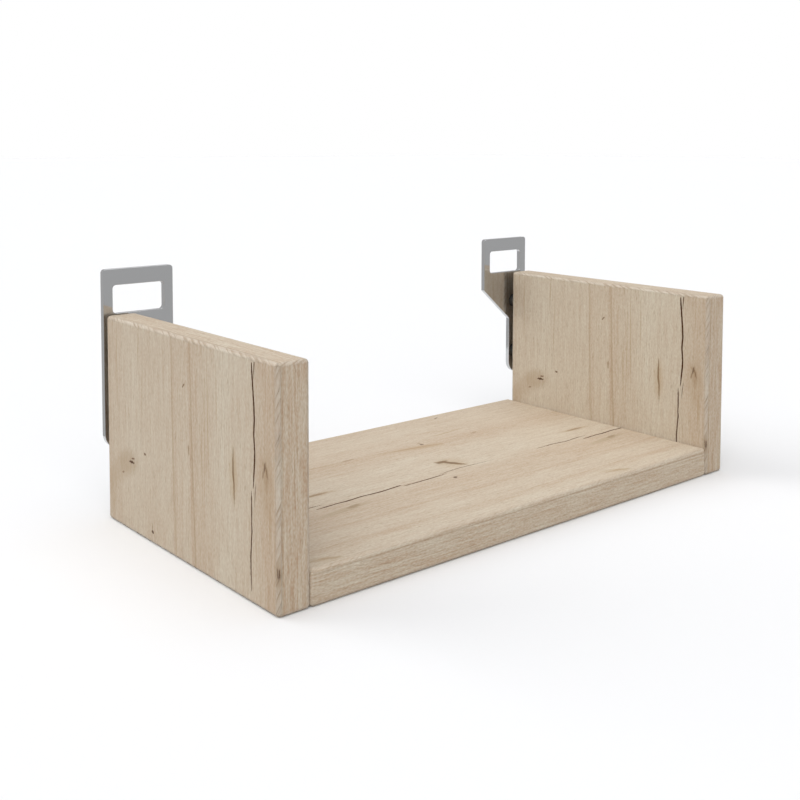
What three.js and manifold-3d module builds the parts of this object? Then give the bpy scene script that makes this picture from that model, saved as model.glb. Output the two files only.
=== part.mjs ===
// Hanging wall shelf: two sides and a board with an oak look, carried by two steel hook plates.
// Units are millimetres. +X is to the right, +Y is towards the wall and +Z is up.
// The origin is on the ground plane, under the middle of the shelf's overall box.

import * as THREE from 'three';
import { RoundedBoxGeometry } from 'three/addons/geometries/RoundedBoxGeometry.js';
import { mergeVertices, toCreasedNormals } from 'three/addons/utils/BufferGeometryUtils.js';
import Module from 'manifold-3d';

const wasm = await Module();
wasm.setup();

// Sides and board
const SHELF_WIDTH = 480;
const SIDE_DEPTH = 240;
const SIDE_HEIGHT = 161;
const SIDE_THICKNESS = 25;
const BOARD_THICKNESS = 25;
const BOARD_OVERHANG = 5; // how far the board reaches past the sides' back edges
const BAND_THICKNESS = 3;
const EDGE_RADIUS = 3;

// Hanger plates, measured from the side's outer face and from its top edge
const PLATE_THICKNESS = 4.5;
const PLATE_STANDOFF = 5; // gap between the side's back edge and the plate
const HEAD_WIDTH = 61;
const HEAD_RISE = 35.5; // plate above the side's top edge
const HEAD_DROP = 17.5; // straight inner edge below the side's top edge
const SHOULDER_HEIGHT = 32;
const LEG_WIDTH = 24;
const LEG_LENGTH = 108; // from the side's top edge to the bottom of the foot
const WINDOW_WIDTH = 44.5;
const WINDOW_HEIGHT = 22.5;
const WINDOW_TOP_RIM = 13;
const PLATE_CORNER_RADIUS = 3;
const WINDOW_CORNER_RADIUS = 3;
const SHOULDER_CORNER_RADIUS = 1.2;
const PLATE_EDGE_BREAK = 0.4;

// Plate screws, M6 with a countersunk head, their spacer sleeves and threaded inserts
const UPPER_SCREW_DROP = 32; // below the side's top edge
const LOWER_SCREW_RISE = 22; // above the plate's foot
const SCREW_RADIUS = 3;
const SCREW_LENGTH = 24;
const SCREW_HEAD_RADIUS = 6;
const SCREW_HEAD_LAND = 0.4;
const SOCKET_WIDTH = 4;
const SOCKET_DEPTH = 2.2;
const SLEEVE_RADIUS = 7;
const INSERT_RADIUS = 5;
const INSERT_LENGTH = 15;
const INSERT_RECESS = 0.5;

// Cam fittings in the board's ends
const CAM_INSET = 34; // cam centre from the side's inner face
const CAM_EDGE_DISTANCE = 40; // cam centre from the board's front and back edges
const CAM_RADIUS = 7.3;
const CAM_BORE_DEPTH = 17;
const CAM_DRIVER_PLATE = 3.6;
const CAM_TRACK_START = 6.2; // track radius where the bolt's head enters
const CAM_TRACK_END = 4.6; // track radius where it is drawn tight
const CAM_SLOT_SWEEP = 200; // degrees
const CAM_LOCK_ANGLE = 165; // degrees from the entry to where the bolt sits
const CAM_CROSS_LENGTH = 8;
const CAM_CROSS_WIDTH = 1.8;
const CAM_CROSS_DEPTH = 2.4;
const BOLT_THREAD_RADIUS = 2.7;
const BOLT_THREAD_LENGTH = 11;
const BOLT_SHANK_RADIUS = 3;
const BOLT_COLLAR_RADIUS = 3.6;
const BOLT_COLLAR_LENGTH = 2;
const BOLT_NECK_RADIUS = 1.9;
const BOLT_NECK_LENGTH = 4;
const BOLT_HEAD_RADIUS = 3.3;
const BOLT_HEAD_LENGTH = 4.2;
const BOLT_BORE_RADIUS = 4;
const CAP_THICKNESS = 1.2;
const CAP_RECESS = 0.3;
const CAP_CHAMFER = 0.4;

// Dowels between the cams
const DOWEL_SPACING = 32; // from the cam to its neighbouring dowel
const DOWEL_RADIUS = 4;
const DOWEL_LENGTH = 35;
const DOWEL_IN_SIDE = 12;
const DOWEL_CHAMFER = 1;

// Clearances
const FIT_GAP = 0.2; // all round a fitting in its hole
const END_GAP = 0.5; // past the end of a fitting in a blind hole
const CUT_MARGIN = 1; // how far a cutter runs out of the face it opens

// Facets
const EDGE_SEGMENTS = 3;
const CORNER_SEGMENTS = 4;
const FOOT_SEGMENTS = 8;
const ROUND_SEGMENTS = 18;
const CAM_SEGMENTS = 30;
const CREASE_ANGLE = THREE.MathUtils.degToRad(35);

// Places worked out from the sizes above
const boardDepth = SIDE_DEPTH + BOARD_OVERHANG;
const boardLength = SHELF_WIDTH - 2 * SIDE_THICKNESS;
const plateFront = SIDE_DEPTH + PLATE_STANDOFF;
const plateBack = plateFront + PLATE_THICKNESS;
const overallDepth = Math.max(boardDepth, plateBack);
const fittingHeight = BOARD_THICKNESS / 2;
const sideMiddle = SIDE_THICKNESS / 2;
const camDepths = [CAM_EDGE_DISTANCE, boardDepth - CAM_EDGE_DISTANCE];
const dowelDepths = [camDepths[0] + DOWEL_SPACING, camDepths[1] - DOWEL_SPACING];
const plateFoot = SIDE_HEIGHT - LEG_LENGTH;
const screwHeights = [plateFoot + LOWER_SCREW_RISE, SIDE_HEIGHT - UPPER_SCREW_DROP];
const boltTip = CAM_INSET - CAM_TRACK_END + FIT_GAP + BOLT_HEAD_LENGTH;

const finishes = {
  oak: { color: '#c2b299', roughness: 0.6, metalness: 0 },
  polishedSteel: { color: '#c6c7c8', roughness: 0.08, metalness: 1 },
  zincSteel: { color: '#aeb0b2', roughness: 0.35, metalness: 1 },
  brass: { color: '#c3a15b', roughness: 0.35, metalness: 1 },
  castZinc: { color: '#9c9ea0', roughness: 0.5, metalness: 1 },
  capPlastic: { color: '#b9a98f', roughness: 0.55, metalness: 0 },
  beech: { color: '#d3b083', roughness: 0.75, metalness: 0 },
};

function solidOf(geometry) {
  const plain = geometry.clone();
  plain.deleteAttribute('normal');
  plain.deleteAttribute('uv');
  const merged = mergeVertices(plain, 1e-4);
  return new wasm.Manifold(new wasm.Mesh({
    numProp: 3,
    vertProperties: new Float32Array(merged.attributes.position.array),
    triVerts: new Uint32Array(merged.index.array),
  }));
}

function geometryOf(solid) {
  const { vertProperties, triVerts } = solid.getMesh();
  const geometry = new THREE.BufferGeometry();
  geometry.setAttribute('position', new THREE.BufferAttribute(vertProperties, 3));
  geometry.setIndex(new THREE.BufferAttribute(triVerts, 1));
  return toCreasedNormals(geometry, CREASE_ANGLE);
}

function cut(solid, cutters) {
  return cutters.reduce((rest, cutter) => rest.subtract(cutter), solid);
}

function piece(name, solid, finish) {
  const mesh = new THREE.Mesh(geometryOf(solid), new THREE.MeshStandardMaterial(finishes[finish]));
  mesh.name = name;
  return mesh;
}

// A block between two corners, sharp or with every edge rounded.
function block(low, high, radius = 0) {
  const size = new THREE.Vector3().subVectors(high, low);
  const geometry = radius > 0
    ? new RoundedBoxGeometry(size.x, size.y, size.z, EDGE_SEGMENTS, radius)
    : new THREE.BoxGeometry(size.x, size.y, size.z);
  const middle = new THREE.Vector3().addVectors(low, high).multiplyScalar(0.5);
  geometry.translate(middle.x, middle.y, middle.z);
  return solidOf(geometry);
}

// A turned solid from [radius, place] pairs, with its axis along x, y or z and its zero at a point.
function turned(profile, axis, at, { flip = false, segments = ROUND_SEGMENTS } = {}) {
  const points = profile.map(([radius, place]) => new THREE.Vector2(radius, place));
  const geometry = new THREE.LatheGeometry(points, segments);
  if (flip) geometry.rotateZ(Math.PI);
  if (axis === 'x') geometry.rotateZ(-Math.PI / 2);
  if (axis === 'z') geometry.rotateX(Math.PI / 2);
  geometry.translate(at.x, at.y, at.z);
  return solidOf(geometry);
}

function rod(radius, start, end, axis, at, options) {
  return turned([[0, start], [radius, start], [radius, end], [0, end]], axis, at, options);
}

function tube(outer, inner, start, end, axis, at) {
  const profile = [[inner, start], [outer, start], [outer, end], [inner, end], [inner, start]];
  return turned(profile, axis, at);
}

// Board cores and their edge bands. A panel is one rounded block, divided into the core and the bands
// that close its four edges. The front and back bands run the whole way and the other two sit between.
function panel(prefix, low, high, between, drillings) {
  const whole = cut(block(low, high, EDGE_RADIUS), drillings);
  const innerLow = low.clone();
  const innerHigh = high.clone();
  innerLow.y += BAND_THICKNESS;
  innerHigh.y -= BAND_THICKNESS;
  innerLow[between.axis] += BAND_THICKNESS;
  innerHigh[between.axis] -= BAND_THICKNESS;

  const part = (name, changes) => {
    const from = low.clone();
    const to = high.clone();
    for (const [axis, a, b] of changes) {
      from[axis] = a;
      to[axis] = b;
    }
    return piece(`${prefix}_${name}`, whole.intersect(block(from, to)), 'oak');
  };
  const depthInside = ['y', innerLow.y, innerHigh.y];
  const { axis } = between;
  return [
    part('core', [depthInside, [axis, innerLow[axis], innerHigh[axis]]]),
    part('front_band', [['y', low.y, innerLow.y]]),
    part('back_band', [['y', innerHigh.y, high.y]]),
    part(between.lowName, [depthInside, [axis, low[axis], innerLow[axis]]]),
    part(between.highName, [depthInside, [axis, innerHigh[axis], high[axis]]]),
  ];
}

// Places on one hand of the shelf: -1 is the left side and 1 the right side. A distance is counted
// inwards from the side's outer face, or from its inner face.
function handOf(sign) {
  return {
    sign,
    name: sign < 0 ? 'left' : 'right',
    fromOuter: (distance) => sign * (SHELF_WIDTH / 2 - distance),
    fromInner: (distance) => sign * (SHELF_WIDTH / 2 - SIDE_THICKNESS - distance),
    flip: sign > 0, // a turned fitting whose profile runs towards the middle of the shelf
  };
}

function acrossJoint(hand, depth) {
  return new THREE.Vector3(hand.fromInner(0), depth, fittingHeight);
}

function sidePanel(hand) {
  const reach = [hand.fromOuter(0), hand.fromInner(0)].sort((a, b) => a - b);
  const low = new THREE.Vector3(reach[0], 0, 0);
  const high = new THREE.Vector3(reach[1], SIDE_DEPTH, SIDE_HEIGHT);
  const options = { flip: hand.flip };
  const drillings = [
    ...screwHeights.map((height) => rod(
      INSERT_RADIUS + FIT_GAP,
      SIDE_DEPTH - INSERT_RECESS - INSERT_LENGTH - END_GAP,
      SIDE_DEPTH + CUT_MARGIN,
      'y',
      new THREE.Vector3(hand.fromOuter(sideMiddle), 0, height),
    )),
    ...camDepths.map((depth) => rod(
      BOLT_THREAD_RADIUS + FIT_GAP, -BOLT_THREAD_LENGTH - END_GAP, CUT_MARGIN, 'x',
      acrossJoint(hand, depth), options,
    )),
    ...dowelDepths.map((depth) => rod(
      DOWEL_RADIUS + FIT_GAP, -DOWEL_IN_SIDE - END_GAP, CUT_MARGIN, 'x', acrossJoint(hand, depth), options,
    )),
  ];
  const between = { axis: 'z', lowName: 'bottom_band', highName: 'top_band' };
  return panel(`${hand.name}_side`, low, high, between, drillings);
}

function shelfBoard(hands) {
  const low = new THREE.Vector3(-boardLength / 2, 0, 0);
  const high = new THREE.Vector3(boardLength / 2, boardDepth, BOARD_THICKNESS);
  const dowelReach = DOWEL_LENGTH - DOWEL_IN_SIDE + END_GAP;
  const drillings = hands.flatMap((hand) => [
    ...camDepths.flatMap((depth) => [
      rod(BOLT_BORE_RADIUS, -CUT_MARGIN, CAM_INSET, 'x', acrossJoint(hand, depth), { flip: hand.flip }),
      rod(
        CAM_RADIUS + FIT_GAP, -CUT_MARGIN, CAM_BORE_DEPTH, 'z',
        new THREE.Vector3(hand.fromInner(CAM_INSET), depth, 0), { segments: CAM_SEGMENTS },
      ),
    ]),
    ...dowelDepths.map((depth) => rod(
      DOWEL_RADIUS + FIT_GAP, -CUT_MARGIN, dowelReach, 'x', acrossJoint(hand, depth), { flip: hand.flip },
    )),
  ]);
  const between = { axis: 'x', lowName: 'left_end_band', highName: 'right_end_band' };
  return panel('shelf_board', low, high, between, drillings);
}

// Points round an outline with rounded corners, from [x, y, radius, segments] corners in order round it.
function roundedOutline(corners) {
  return corners.flatMap(([x, y, radius, segments = CORNER_SEGMENTS], i) => {
    const corner = new THREE.Vector2(x, y);
    const [beforeX, beforeY] = corners[(i + corners.length - 1) % corners.length];
    const [afterX, afterY] = corners[(i + 1) % corners.length];
    const back = new THREE.Vector2(beforeX, beforeY).sub(corner).normalize();
    const on = new THREE.Vector2(afterX, afterY).sub(corner).normalize();
    const halfAngle = Math.acos(THREE.MathUtils.clamp(back.dot(on), -1, 1)) / 2;
    const bisector = back.clone().add(on).normalize();
    const middle = corner.clone().addScaledVector(bisector, radius / Math.sin(halfAngle));
    const start = corner.clone().addScaledVector(back, radius / Math.tan(halfAngle)).sub(middle);
    const turn = (Math.PI - 2 * halfAngle) * Math.sign(on.cross(back));
    return Array.from({ length: segments + 1 }, (_, step) => start.clone()
      .rotateAround(new THREE.Vector2(), (turn * step) / segments)
      .add(middle));
  });
}

// The hanger plate's outline in its own plane: x inwards from the side's outer face, y up.
function hangerOutline(hand) {
  const x = (distance) => hand.fromOuter(distance);
  const top = SIDE_HEIGHT + HEAD_RISE;
  const shoulderTop = SIDE_HEIGHT - HEAD_DROP;
  const shoulderFoot = shoulderTop - SHOULDER_HEIGHT;
  const footRadius = LEG_WIDTH / 2 - PLATE_EDGE_BREAK;
  const outline = new THREE.Shape(roundedOutline([
    [x(0), plateFoot, footRadius, FOOT_SEGMENTS],
    [x(0), top, PLATE_CORNER_RADIUS],
    [x(HEAD_WIDTH), top, PLATE_CORNER_RADIUS],
    [x(HEAD_WIDTH), shoulderTop, SHOULDER_CORNER_RADIUS],
    [x(LEG_WIDTH), shoulderFoot, SHOULDER_CORNER_RADIUS],
    [x(LEG_WIDTH), plateFoot, footRadius, FOOT_SEGMENTS],
  ]));
  const sideRim = (HEAD_WIDTH - WINDOW_WIDTH) / 2;
  const windowTop = top - WINDOW_TOP_RIM;
  outline.holes.push(new THREE.Path(roundedOutline([
    [x(sideRim), windowTop, WINDOW_CORNER_RADIUS],
    [x(sideRim), windowTop - WINDOW_HEIGHT, WINDOW_CORNER_RADIUS],
    [x(sideRim + WINDOW_WIDTH), windowTop - WINDOW_HEIGHT, WINDOW_CORNER_RADIUS],
    [x(sideRim + WINDOW_WIDTH), windowTop, WINDOW_CORNER_RADIUS],
  ])));
  return outline;
}

function screwProfile(gap, headEnd) {
  const radius = SCREW_RADIUS + gap;
  const headRadius = SCREW_HEAD_RADIUS + gap;
  const coneEnd = plateBack - SCREW_HEAD_LAND;
  return [
    [radius, coneEnd - (headRadius - radius)],
    [headRadius, coneEnd],
    [headRadius, headEnd],
    [0, headEnd],
  ];
}

function hangerPlate(hand) {
  const geometry = new THREE.ExtrudeGeometry(hangerOutline(hand), {
    depth: PLATE_THICKNESS - 2 * PLATE_EDGE_BREAK,
    bevelThickness: PLATE_EDGE_BREAK,
    bevelSize: PLATE_EDGE_BREAK,
    bevelOffset: -PLATE_EDGE_BREAK,
    bevelSegments: 1,
  });
  geometry.rotateX(Math.PI / 2);
  geometry.translate(0, plateBack - PLATE_EDGE_BREAK, 0);
  const holes = screwHeights.map((height) => turned(
    [[0, plateFront - CUT_MARGIN], [SCREW_RADIUS + FIT_GAP, plateFront - CUT_MARGIN],
      ...screwProfile(FIT_GAP, plateBack + CUT_MARGIN)],
    'y',
    new THREE.Vector3(hand.fromOuter(sideMiddle), 0, height),
  ));
  return piece(`${hand.name}_hanger_plate`, cut(solidOf(geometry), holes), 'polishedSteel');
}

// One plate screw with its sleeve and insert, all on one axis through the plate into the side.
function plateFixing(hand, level, height) {
  const at = new THREE.Vector3(hand.fromOuter(sideMiddle), 0, height);
  const prefix = `${hand.name}_${level}`;
  const tip = plateBack - SCREW_LENGTH;
  const screw = turned(
    [[0, tip], [SCREW_RADIUS - SCREW_HEAD_LAND, tip], [SCREW_RADIUS, tip + SCREW_HEAD_LAND],
      ...screwProfile(0, plateBack)],
    'y',
    at,
  );
  const socketRadius = SOCKET_WIDTH / 2 / Math.cos(Math.PI / 6);
  const socket = rod(socketRadius, plateBack - SOCKET_DEPTH, plateBack + CUT_MARGIN, 'y', at, { segments: 6 });
  const bore = SCREW_RADIUS + FIT_GAP;
  const sleeve = tube(SLEEVE_RADIUS, bore, SIDE_DEPTH, plateFront, 'y', at);
  const insertEnd = SIDE_DEPTH - INSERT_RECESS;
  const insert = tube(INSERT_RADIUS, bore, insertEnd - INSERT_LENGTH, insertEnd, 'y', at);
  return [
    piece(`${prefix}_plate_screw`, screw.subtract(socket), 'zincSteel'),
    piece(`${prefix}_spacer_sleeve`, sleeve, 'zincSteel'),
    piece(`${prefix}_threaded_insert`, insert, 'brass'),
  ];
}

// A cross standing along z: the cam's driver recess, and the plug on the cap that fits it.
function cross(length, width, start, end) {
  const half = length / 2;
  const bar = (x, y) => block(new THREE.Vector3(-x, -y, start), new THREE.Vector3(x, y, end));
  return bar(half, width / 2).add(bar(width / 2, half));
}

// The cam housing stands on z = 0 with its driver face down. The bolt's head enters at angle 0, and the
// wall's inside closes in round the track, so that turning the cam draws the head towards its middle.
function camSolid() {
  const height = CAM_BORE_DEPTH - CAP_RECESS - CAP_THICKNESS - END_GAP;
  const origin = new THREE.Vector3();
  const track = new THREE.Shape(Array.from({ length: CAM_SEGMENTS + 1 }, (_, i) => {
    const share = i / CAM_SEGMENTS;
    const radius = THREE.MathUtils.lerp(CAM_TRACK_START, CAM_TRACK_END, share);
    const angle = share * 2 * Math.PI;
    return new THREE.Vector2(radius * Math.cos(angle), radius * Math.sin(angle));
  }));
  const hollow = new THREE.ExtrudeGeometry(track, { depth: height, bevelEnabled: false });
  hollow.translate(0, 0, CAM_DRIVER_PLATE);

  const slotHalf = BOLT_NECK_RADIUS + 2 * FIT_GAP;
  const middle = fittingHeight - CAP_RECESS - CAP_THICKNESS;
  const sector = new THREE.Shape();
  sector.absarc(0, 0, CAM_RADIUS + CUT_MARGIN, 0, THREE.MathUtils.degToRad(CAM_SLOT_SWEEP), false);
  sector.lineTo(0, 0);
  const slot = new THREE.ExtrudeGeometry(sector, {
    depth: 2 * slotHalf, bevelEnabled: false, curveSegments: CAM_SEGMENTS / 2,
  });
  slot.translate(0, 0, middle - slotHalf);

  const entryRadius = BOLT_HEAD_RADIUS + FIT_GAP;
  return cut(rod(CAM_RADIUS, 0, height, 'z', origin, { segments: CAM_SEGMENTS }), [
    solidOf(hollow),
    solidOf(slot),
    rod(entryRadius, 0, CAM_RADIUS + CUT_MARGIN, 'x', new THREE.Vector3(0, 0, middle)),
    cross(CAM_CROSS_LENGTH, CAM_CROSS_WIDTH, -CUT_MARGIN, CAM_CROSS_DEPTH),
  ]);
}

function capSolid() {
  const disc = turned([
    [0, 0], [CAM_RADIUS - CAP_CHAMFER, 0], [CAM_RADIUS, CAP_CHAMFER],
    [CAM_RADIUS, CAP_THICKNESS], [0, CAP_THICKNESS],
  ], 'z', new THREE.Vector3(), { segments: CAM_SEGMENTS });
  const plug = cross(
    CAM_CROSS_LENGTH - 2 * FIT_GAP, CAM_CROSS_WIDTH - 2 * FIT_GAP,
    0, CAP_THICKNESS + CAM_CROSS_DEPTH - END_GAP,
  );
  return disc.add(plug);
}

function boltSolid(hand) {
  const shoulder = CAM_INSET - CAM_TRACK_END + FIT_GAP;
  const neckStart = shoulder - BOLT_NECK_LENGTH;
  const headSlope = BOLT_HEAD_RADIUS - BOLT_NECK_RADIUS;
  return turned([
    [0, -BOLT_THREAD_LENGTH], [BOLT_THREAD_RADIUS, -BOLT_THREAD_LENGTH], [BOLT_THREAD_RADIUS, 0],
    [BOLT_COLLAR_RADIUS, 0], [BOLT_COLLAR_RADIUS, BOLT_COLLAR_LENGTH], [BOLT_SHANK_RADIUS, BOLT_COLLAR_LENGTH],
    [BOLT_SHANK_RADIUS, neckStart], [BOLT_NECK_RADIUS, neckStart], [BOLT_NECK_RADIUS, shoulder],
    [BOLT_HEAD_RADIUS, shoulder + headSlope], [BOLT_HEAD_RADIUS, boltTip - headSlope],
    [BOLT_NECK_RADIUS, boltTip], [0, boltTip],
  ], 'x', new THREE.Vector3(), { flip: hand.flip });
}

function dowelSolid(hand) {
  const start = -DOWEL_IN_SIDE;
  const end = start + DOWEL_LENGTH;
  const tip = DOWEL_RADIUS - DOWEL_CHAMFER;
  return turned([
    [0, start], [tip, start], [DOWEL_RADIUS, start + DOWEL_CHAMFER],
    [DOWEL_RADIUS, end - DOWEL_CHAMFER], [tip, end], [0, end],
  ], 'x', new THREE.Vector3(), { flip: hand.flip });
}

// The four fittings between one end of the board and its side, each pair at the front and the back.
function jointFittings(hand) {
  return ['front', 'back'].flatMap((place, i) => {
    const prefix = `${hand.name}_${place}`;
    const camPlace = new THREE.Vector3(hand.fromInner(CAM_INSET), camDepths[i], CAP_RECESS + CAP_THICKNESS);
    const cam = piece(`${prefix}_cam_housing`, camSolid(), 'castZinc');
    cam.position.copy(camPlace);
    const towardsSide = hand.sign < 0 ? Math.PI : 0;
    cam.rotation.z = towardsSide - THREE.MathUtils.degToRad(CAM_LOCK_ANGLE);

    const cap = piece(`${prefix}_cover_cap`, capSolid(), 'capPlastic');
    cap.position.copy(camPlace).setZ(CAP_RECESS);
    cap.rotation.z = cam.rotation.z;

    const bolt = piece(`${prefix}_cam_bolt`, boltSolid(hand), 'zincSteel');
    bolt.position.copy(acrossJoint(hand, camDepths[i]));
    const dowel = piece(`${prefix}_dowel`, dowelSolid(hand), 'beech');
    dowel.position.copy(acrossJoint(hand, dowelDepths[i]));
    return [cam, cap, bolt, dowel];
  });
}

function buildShelf() {
  const hands = [handOf(-1), handOf(1)];
  const shelf = new THREE.Group();
  shelf.name = 'wall_shelf';
  shelf.position.y = -overallDepth / 2;
  shelf.add(...shelfBoard(hands));
  for (const hand of hands) {
    shelf.add(...sidePanel(hand), hangerPlate(hand), ...jointFittings(hand));
    screwHeights.forEach((height, i) => shelf.add(...plateFixing(hand, ['lower', 'upper'][i], height)));
  }
  return shelf;
}

const group = buildShelf();

export default group;
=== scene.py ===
"""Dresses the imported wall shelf: oak-look panels, polished hanger plates and their small fittings.

Sizes in the dataclasses are millimetres in the row's frame. Meshes are made in metres.
"""
import logging
import math
from collections.abc import Iterable, Sequence
from dataclasses import dataclass, field, replace
from enum import Enum
from functools import cache, reduce
from typing import ClassVar

import bmesh
import bpy
import numpy as np
from mathutils import Euler, Matrix, Vector
from mathutils.geometry import tessellate_polygon


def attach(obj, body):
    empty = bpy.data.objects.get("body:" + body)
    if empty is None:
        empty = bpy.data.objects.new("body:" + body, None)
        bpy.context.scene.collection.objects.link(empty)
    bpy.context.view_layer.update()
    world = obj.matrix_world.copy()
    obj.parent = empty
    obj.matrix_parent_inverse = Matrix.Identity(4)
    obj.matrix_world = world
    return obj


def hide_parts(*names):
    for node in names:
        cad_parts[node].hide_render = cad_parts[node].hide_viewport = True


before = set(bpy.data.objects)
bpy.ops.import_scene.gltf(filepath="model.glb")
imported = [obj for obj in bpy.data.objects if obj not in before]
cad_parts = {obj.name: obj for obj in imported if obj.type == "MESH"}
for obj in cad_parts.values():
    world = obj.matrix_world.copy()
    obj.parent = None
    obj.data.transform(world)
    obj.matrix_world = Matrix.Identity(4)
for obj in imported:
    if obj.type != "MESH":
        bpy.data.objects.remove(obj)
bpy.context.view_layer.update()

log = logging.getLogger("wall_shelf")
MM = 0.001
BODY = "root"
GRAIN_UV = "grain"
ARRIS_UV = "arris"
MATHS = "ShaderNodeMath"
VECTOR_MATHS = "ShaderNodeVectorMath"
RANGE = "ShaderNodeMapRange"
NOISE = "ShaderNodeTexNoise"
MIX = "ShaderNodeMix"
BUMP = "ShaderNodeBump"
PRINCIPLED = "ShaderNodeBsdfPrincipled"
SURFACE = "ShaderNodeOutputMaterial"
Point = tuple[float, float, float]
Fade = tuple[float, float, float, float]  # where it starts and is full, and its strength at each
Tree = bpy.types.NodeTree
Socket = bpy.types.NodeSocket
Material = bpy.types.Material


class Axis(Enum):
    """One axis of the row's frame, by its place in a vector."""

    X = 0
    Y = 1
    Z = 2


class Hand(Enum):
    """The shelf's two ends, by the sign of their X."""

    LEFT = -1
    RIGHT = 1


class Slot(Enum):
    """The record's material slots."""

    BOARD = "oak_board"
    EDGING = "oak_edging"
    PLATE = "polished_steel"
    ZINC = "zinc_plated_steel"
    CAP = "cap_plastic"


class Layer(Enum):
    """What a face of a board shows, by its place among the board's materials."""

    DECOR = 0
    EDGING = 1
    RAW = 2


# Nodes


def linear(hex_colour: str) -> tuple[float, float, float, float]:
    """Turns an sRGB hex colour into linear red, green, blue and alpha.

    Args:
        hex_colour: the colour, such as "#c2b299".

    Returns:
        The four linear values.
    """
    parts = [int(hex_colour[i:i + 2], 16) / 255 for i in (1, 3, 5)]
    values = [c / 12.92 if c <= 0.04045 else ((c + 0.055) / 1.055) ** 2.4 for c in parts]
    return (*values, 1.0)


def socket_of(sockets: Sequence, key: str | int) -> Socket:
    """Finds a socket by its identifier or, failing that, by its name or place.

    Args:
        sockets: a node's inputs or outputs.
        key: identifier, name or place.

    Returns:
        The socket.
    """
    named = [s for s in sockets if s.identifier == key]
    return named[0] if named else sockets[key]


def add(
    tree: Tree, kind: str, inputs: dict | Sequence = (), give: str | int = 0, **settings
) -> Socket | None:
    """Adds one node with its settings, values and links.

    Args:
        tree: the node tree it goes into.
        kind: the node's type name.
        inputs: a value, or a socket to link from, for each named input or for the first ones in order.
        give: which of its outputs to give.
        **settings: the node's own properties.

    Returns:
        The output, whose node is the new one, or None where the node has no output.
    """
    node = tree.nodes.new(kind)
    for name, value in settings.items():
        setattr(node, name, value)
    for key, value in inputs.items() if isinstance(inputs, dict) else enumerate(inputs):
        target = socket_of(node.inputs, key)
        if isinstance(value, Socket):
            tree.links.new(value, target)
        else:
            target.default_value = value
    return socket_of(node.outputs, give) if node.outputs else None


def shape_curve(node: bpy.types.Node, points: Sequence[tuple[float, float]]) -> None:
    """Gives a Float Curve node straight stretches between points.

    Args:
        node: the Float Curve node.
        points: (place, value) pairs from 0 to 1, in order.
    """
    curve = node.mapping.curves[0]
    while len(curve.points) < len(points):
        curve.points.new(0.5, 0.5)
    for knot, (place, value) in zip(curve.points, points):
        knot.location = (place, value)
        knot.handle_type = "VECTOR"
    node.mapping.update()


def new_material(name: str) -> tuple[Material, Tree]:
    """Makes a material with an empty tree.

    Args:
        name: the material's name.

    Returns:
        The material and its tree.
    """
    material = bpy.data.materials.new(name)
    material.use_nodes = True
    material.node_tree.nodes.clear()
    return material, material.node_tree


# Oak look: what is printed and pressed on the boards


@dataclass(frozen=True)
class Streak:
    """Noise drawn out along the grain, by the size of one streak in millimetres."""

    across: float
    along: float
    seed: float  # moves this noise away from the others
    detail: float = 2.0
    roughness: ClassVar[float] = 0.55
    moves: ClassVar[Point] = (1.0, 0.7, 1.3)  # how far the seed moves it along each axis

    def noise(self, tree: Tree, place: Socket) -> Socket:
        """Adds the nodes that draw the streaks.

        Args:
            tree: the node tree.
            place: decor coordinates in millimetres.

        Returns:
            The noise, from 0 to 1 about 0.5.
        """
        scale = (1 / self.across, 1 / self.along, 1)
        offset = tuple(self.seed * move for move in self.moves)
        scaled = add(tree, VECTOR_MATHS, (place, scale, offset), operation="MULTIPLY_ADD")
        return add(
            tree, NOISE,
            {"Vector": scaled, "Scale": 1.0, "Detail": self.detail, "Roughness": self.roughness},
        )


@dataclass(frozen=True)
class Mark:
    """A knot, fleck or stain: a soft ellipse in the decor's millimetres."""

    across: float
    along: float
    half_across: float
    half_along: float
    strength: float
    tone: str
    turn: float = 0.0  # degrees from the grain towards +across
    softness: float = 1.0

    def paint(self, tree: Tree, place: Socket) -> Socket:
        """Adds the nodes that draw the mark.

        Args:
            tree: the node tree.
            place: ragged decor coordinates.

        Returns:
            Its strength inside it, falling to 0 at its edge.
        """
        centre = (self.across, self.along, 0)
        turned = add(
            tree, "ShaderNodeVectorRotate",
            {"Vector": place, "Center": centre, "Angle": math.radians(self.turn)}, rotation_type="Z_AXIS",
        )
        away = add(tree, VECTOR_MATHS, (turned, centre), operation="SUBTRACT")
        squeeze = (1 / self.half_across, 1 / self.half_along, 0)
        share = add(tree, VECTOR_MATHS, (away, squeeze), operation="MULTIPLY")
        length = add(tree, VECTOR_MATHS, (share,), give="Value", operation="LENGTH")
        return add(
            tree, RANGE,
            (length, 1 + self.softness / 2, 1 - self.softness / 2, 0.0, self.strength),
            interpolation_type="SMOOTHSTEP",
        )


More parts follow.
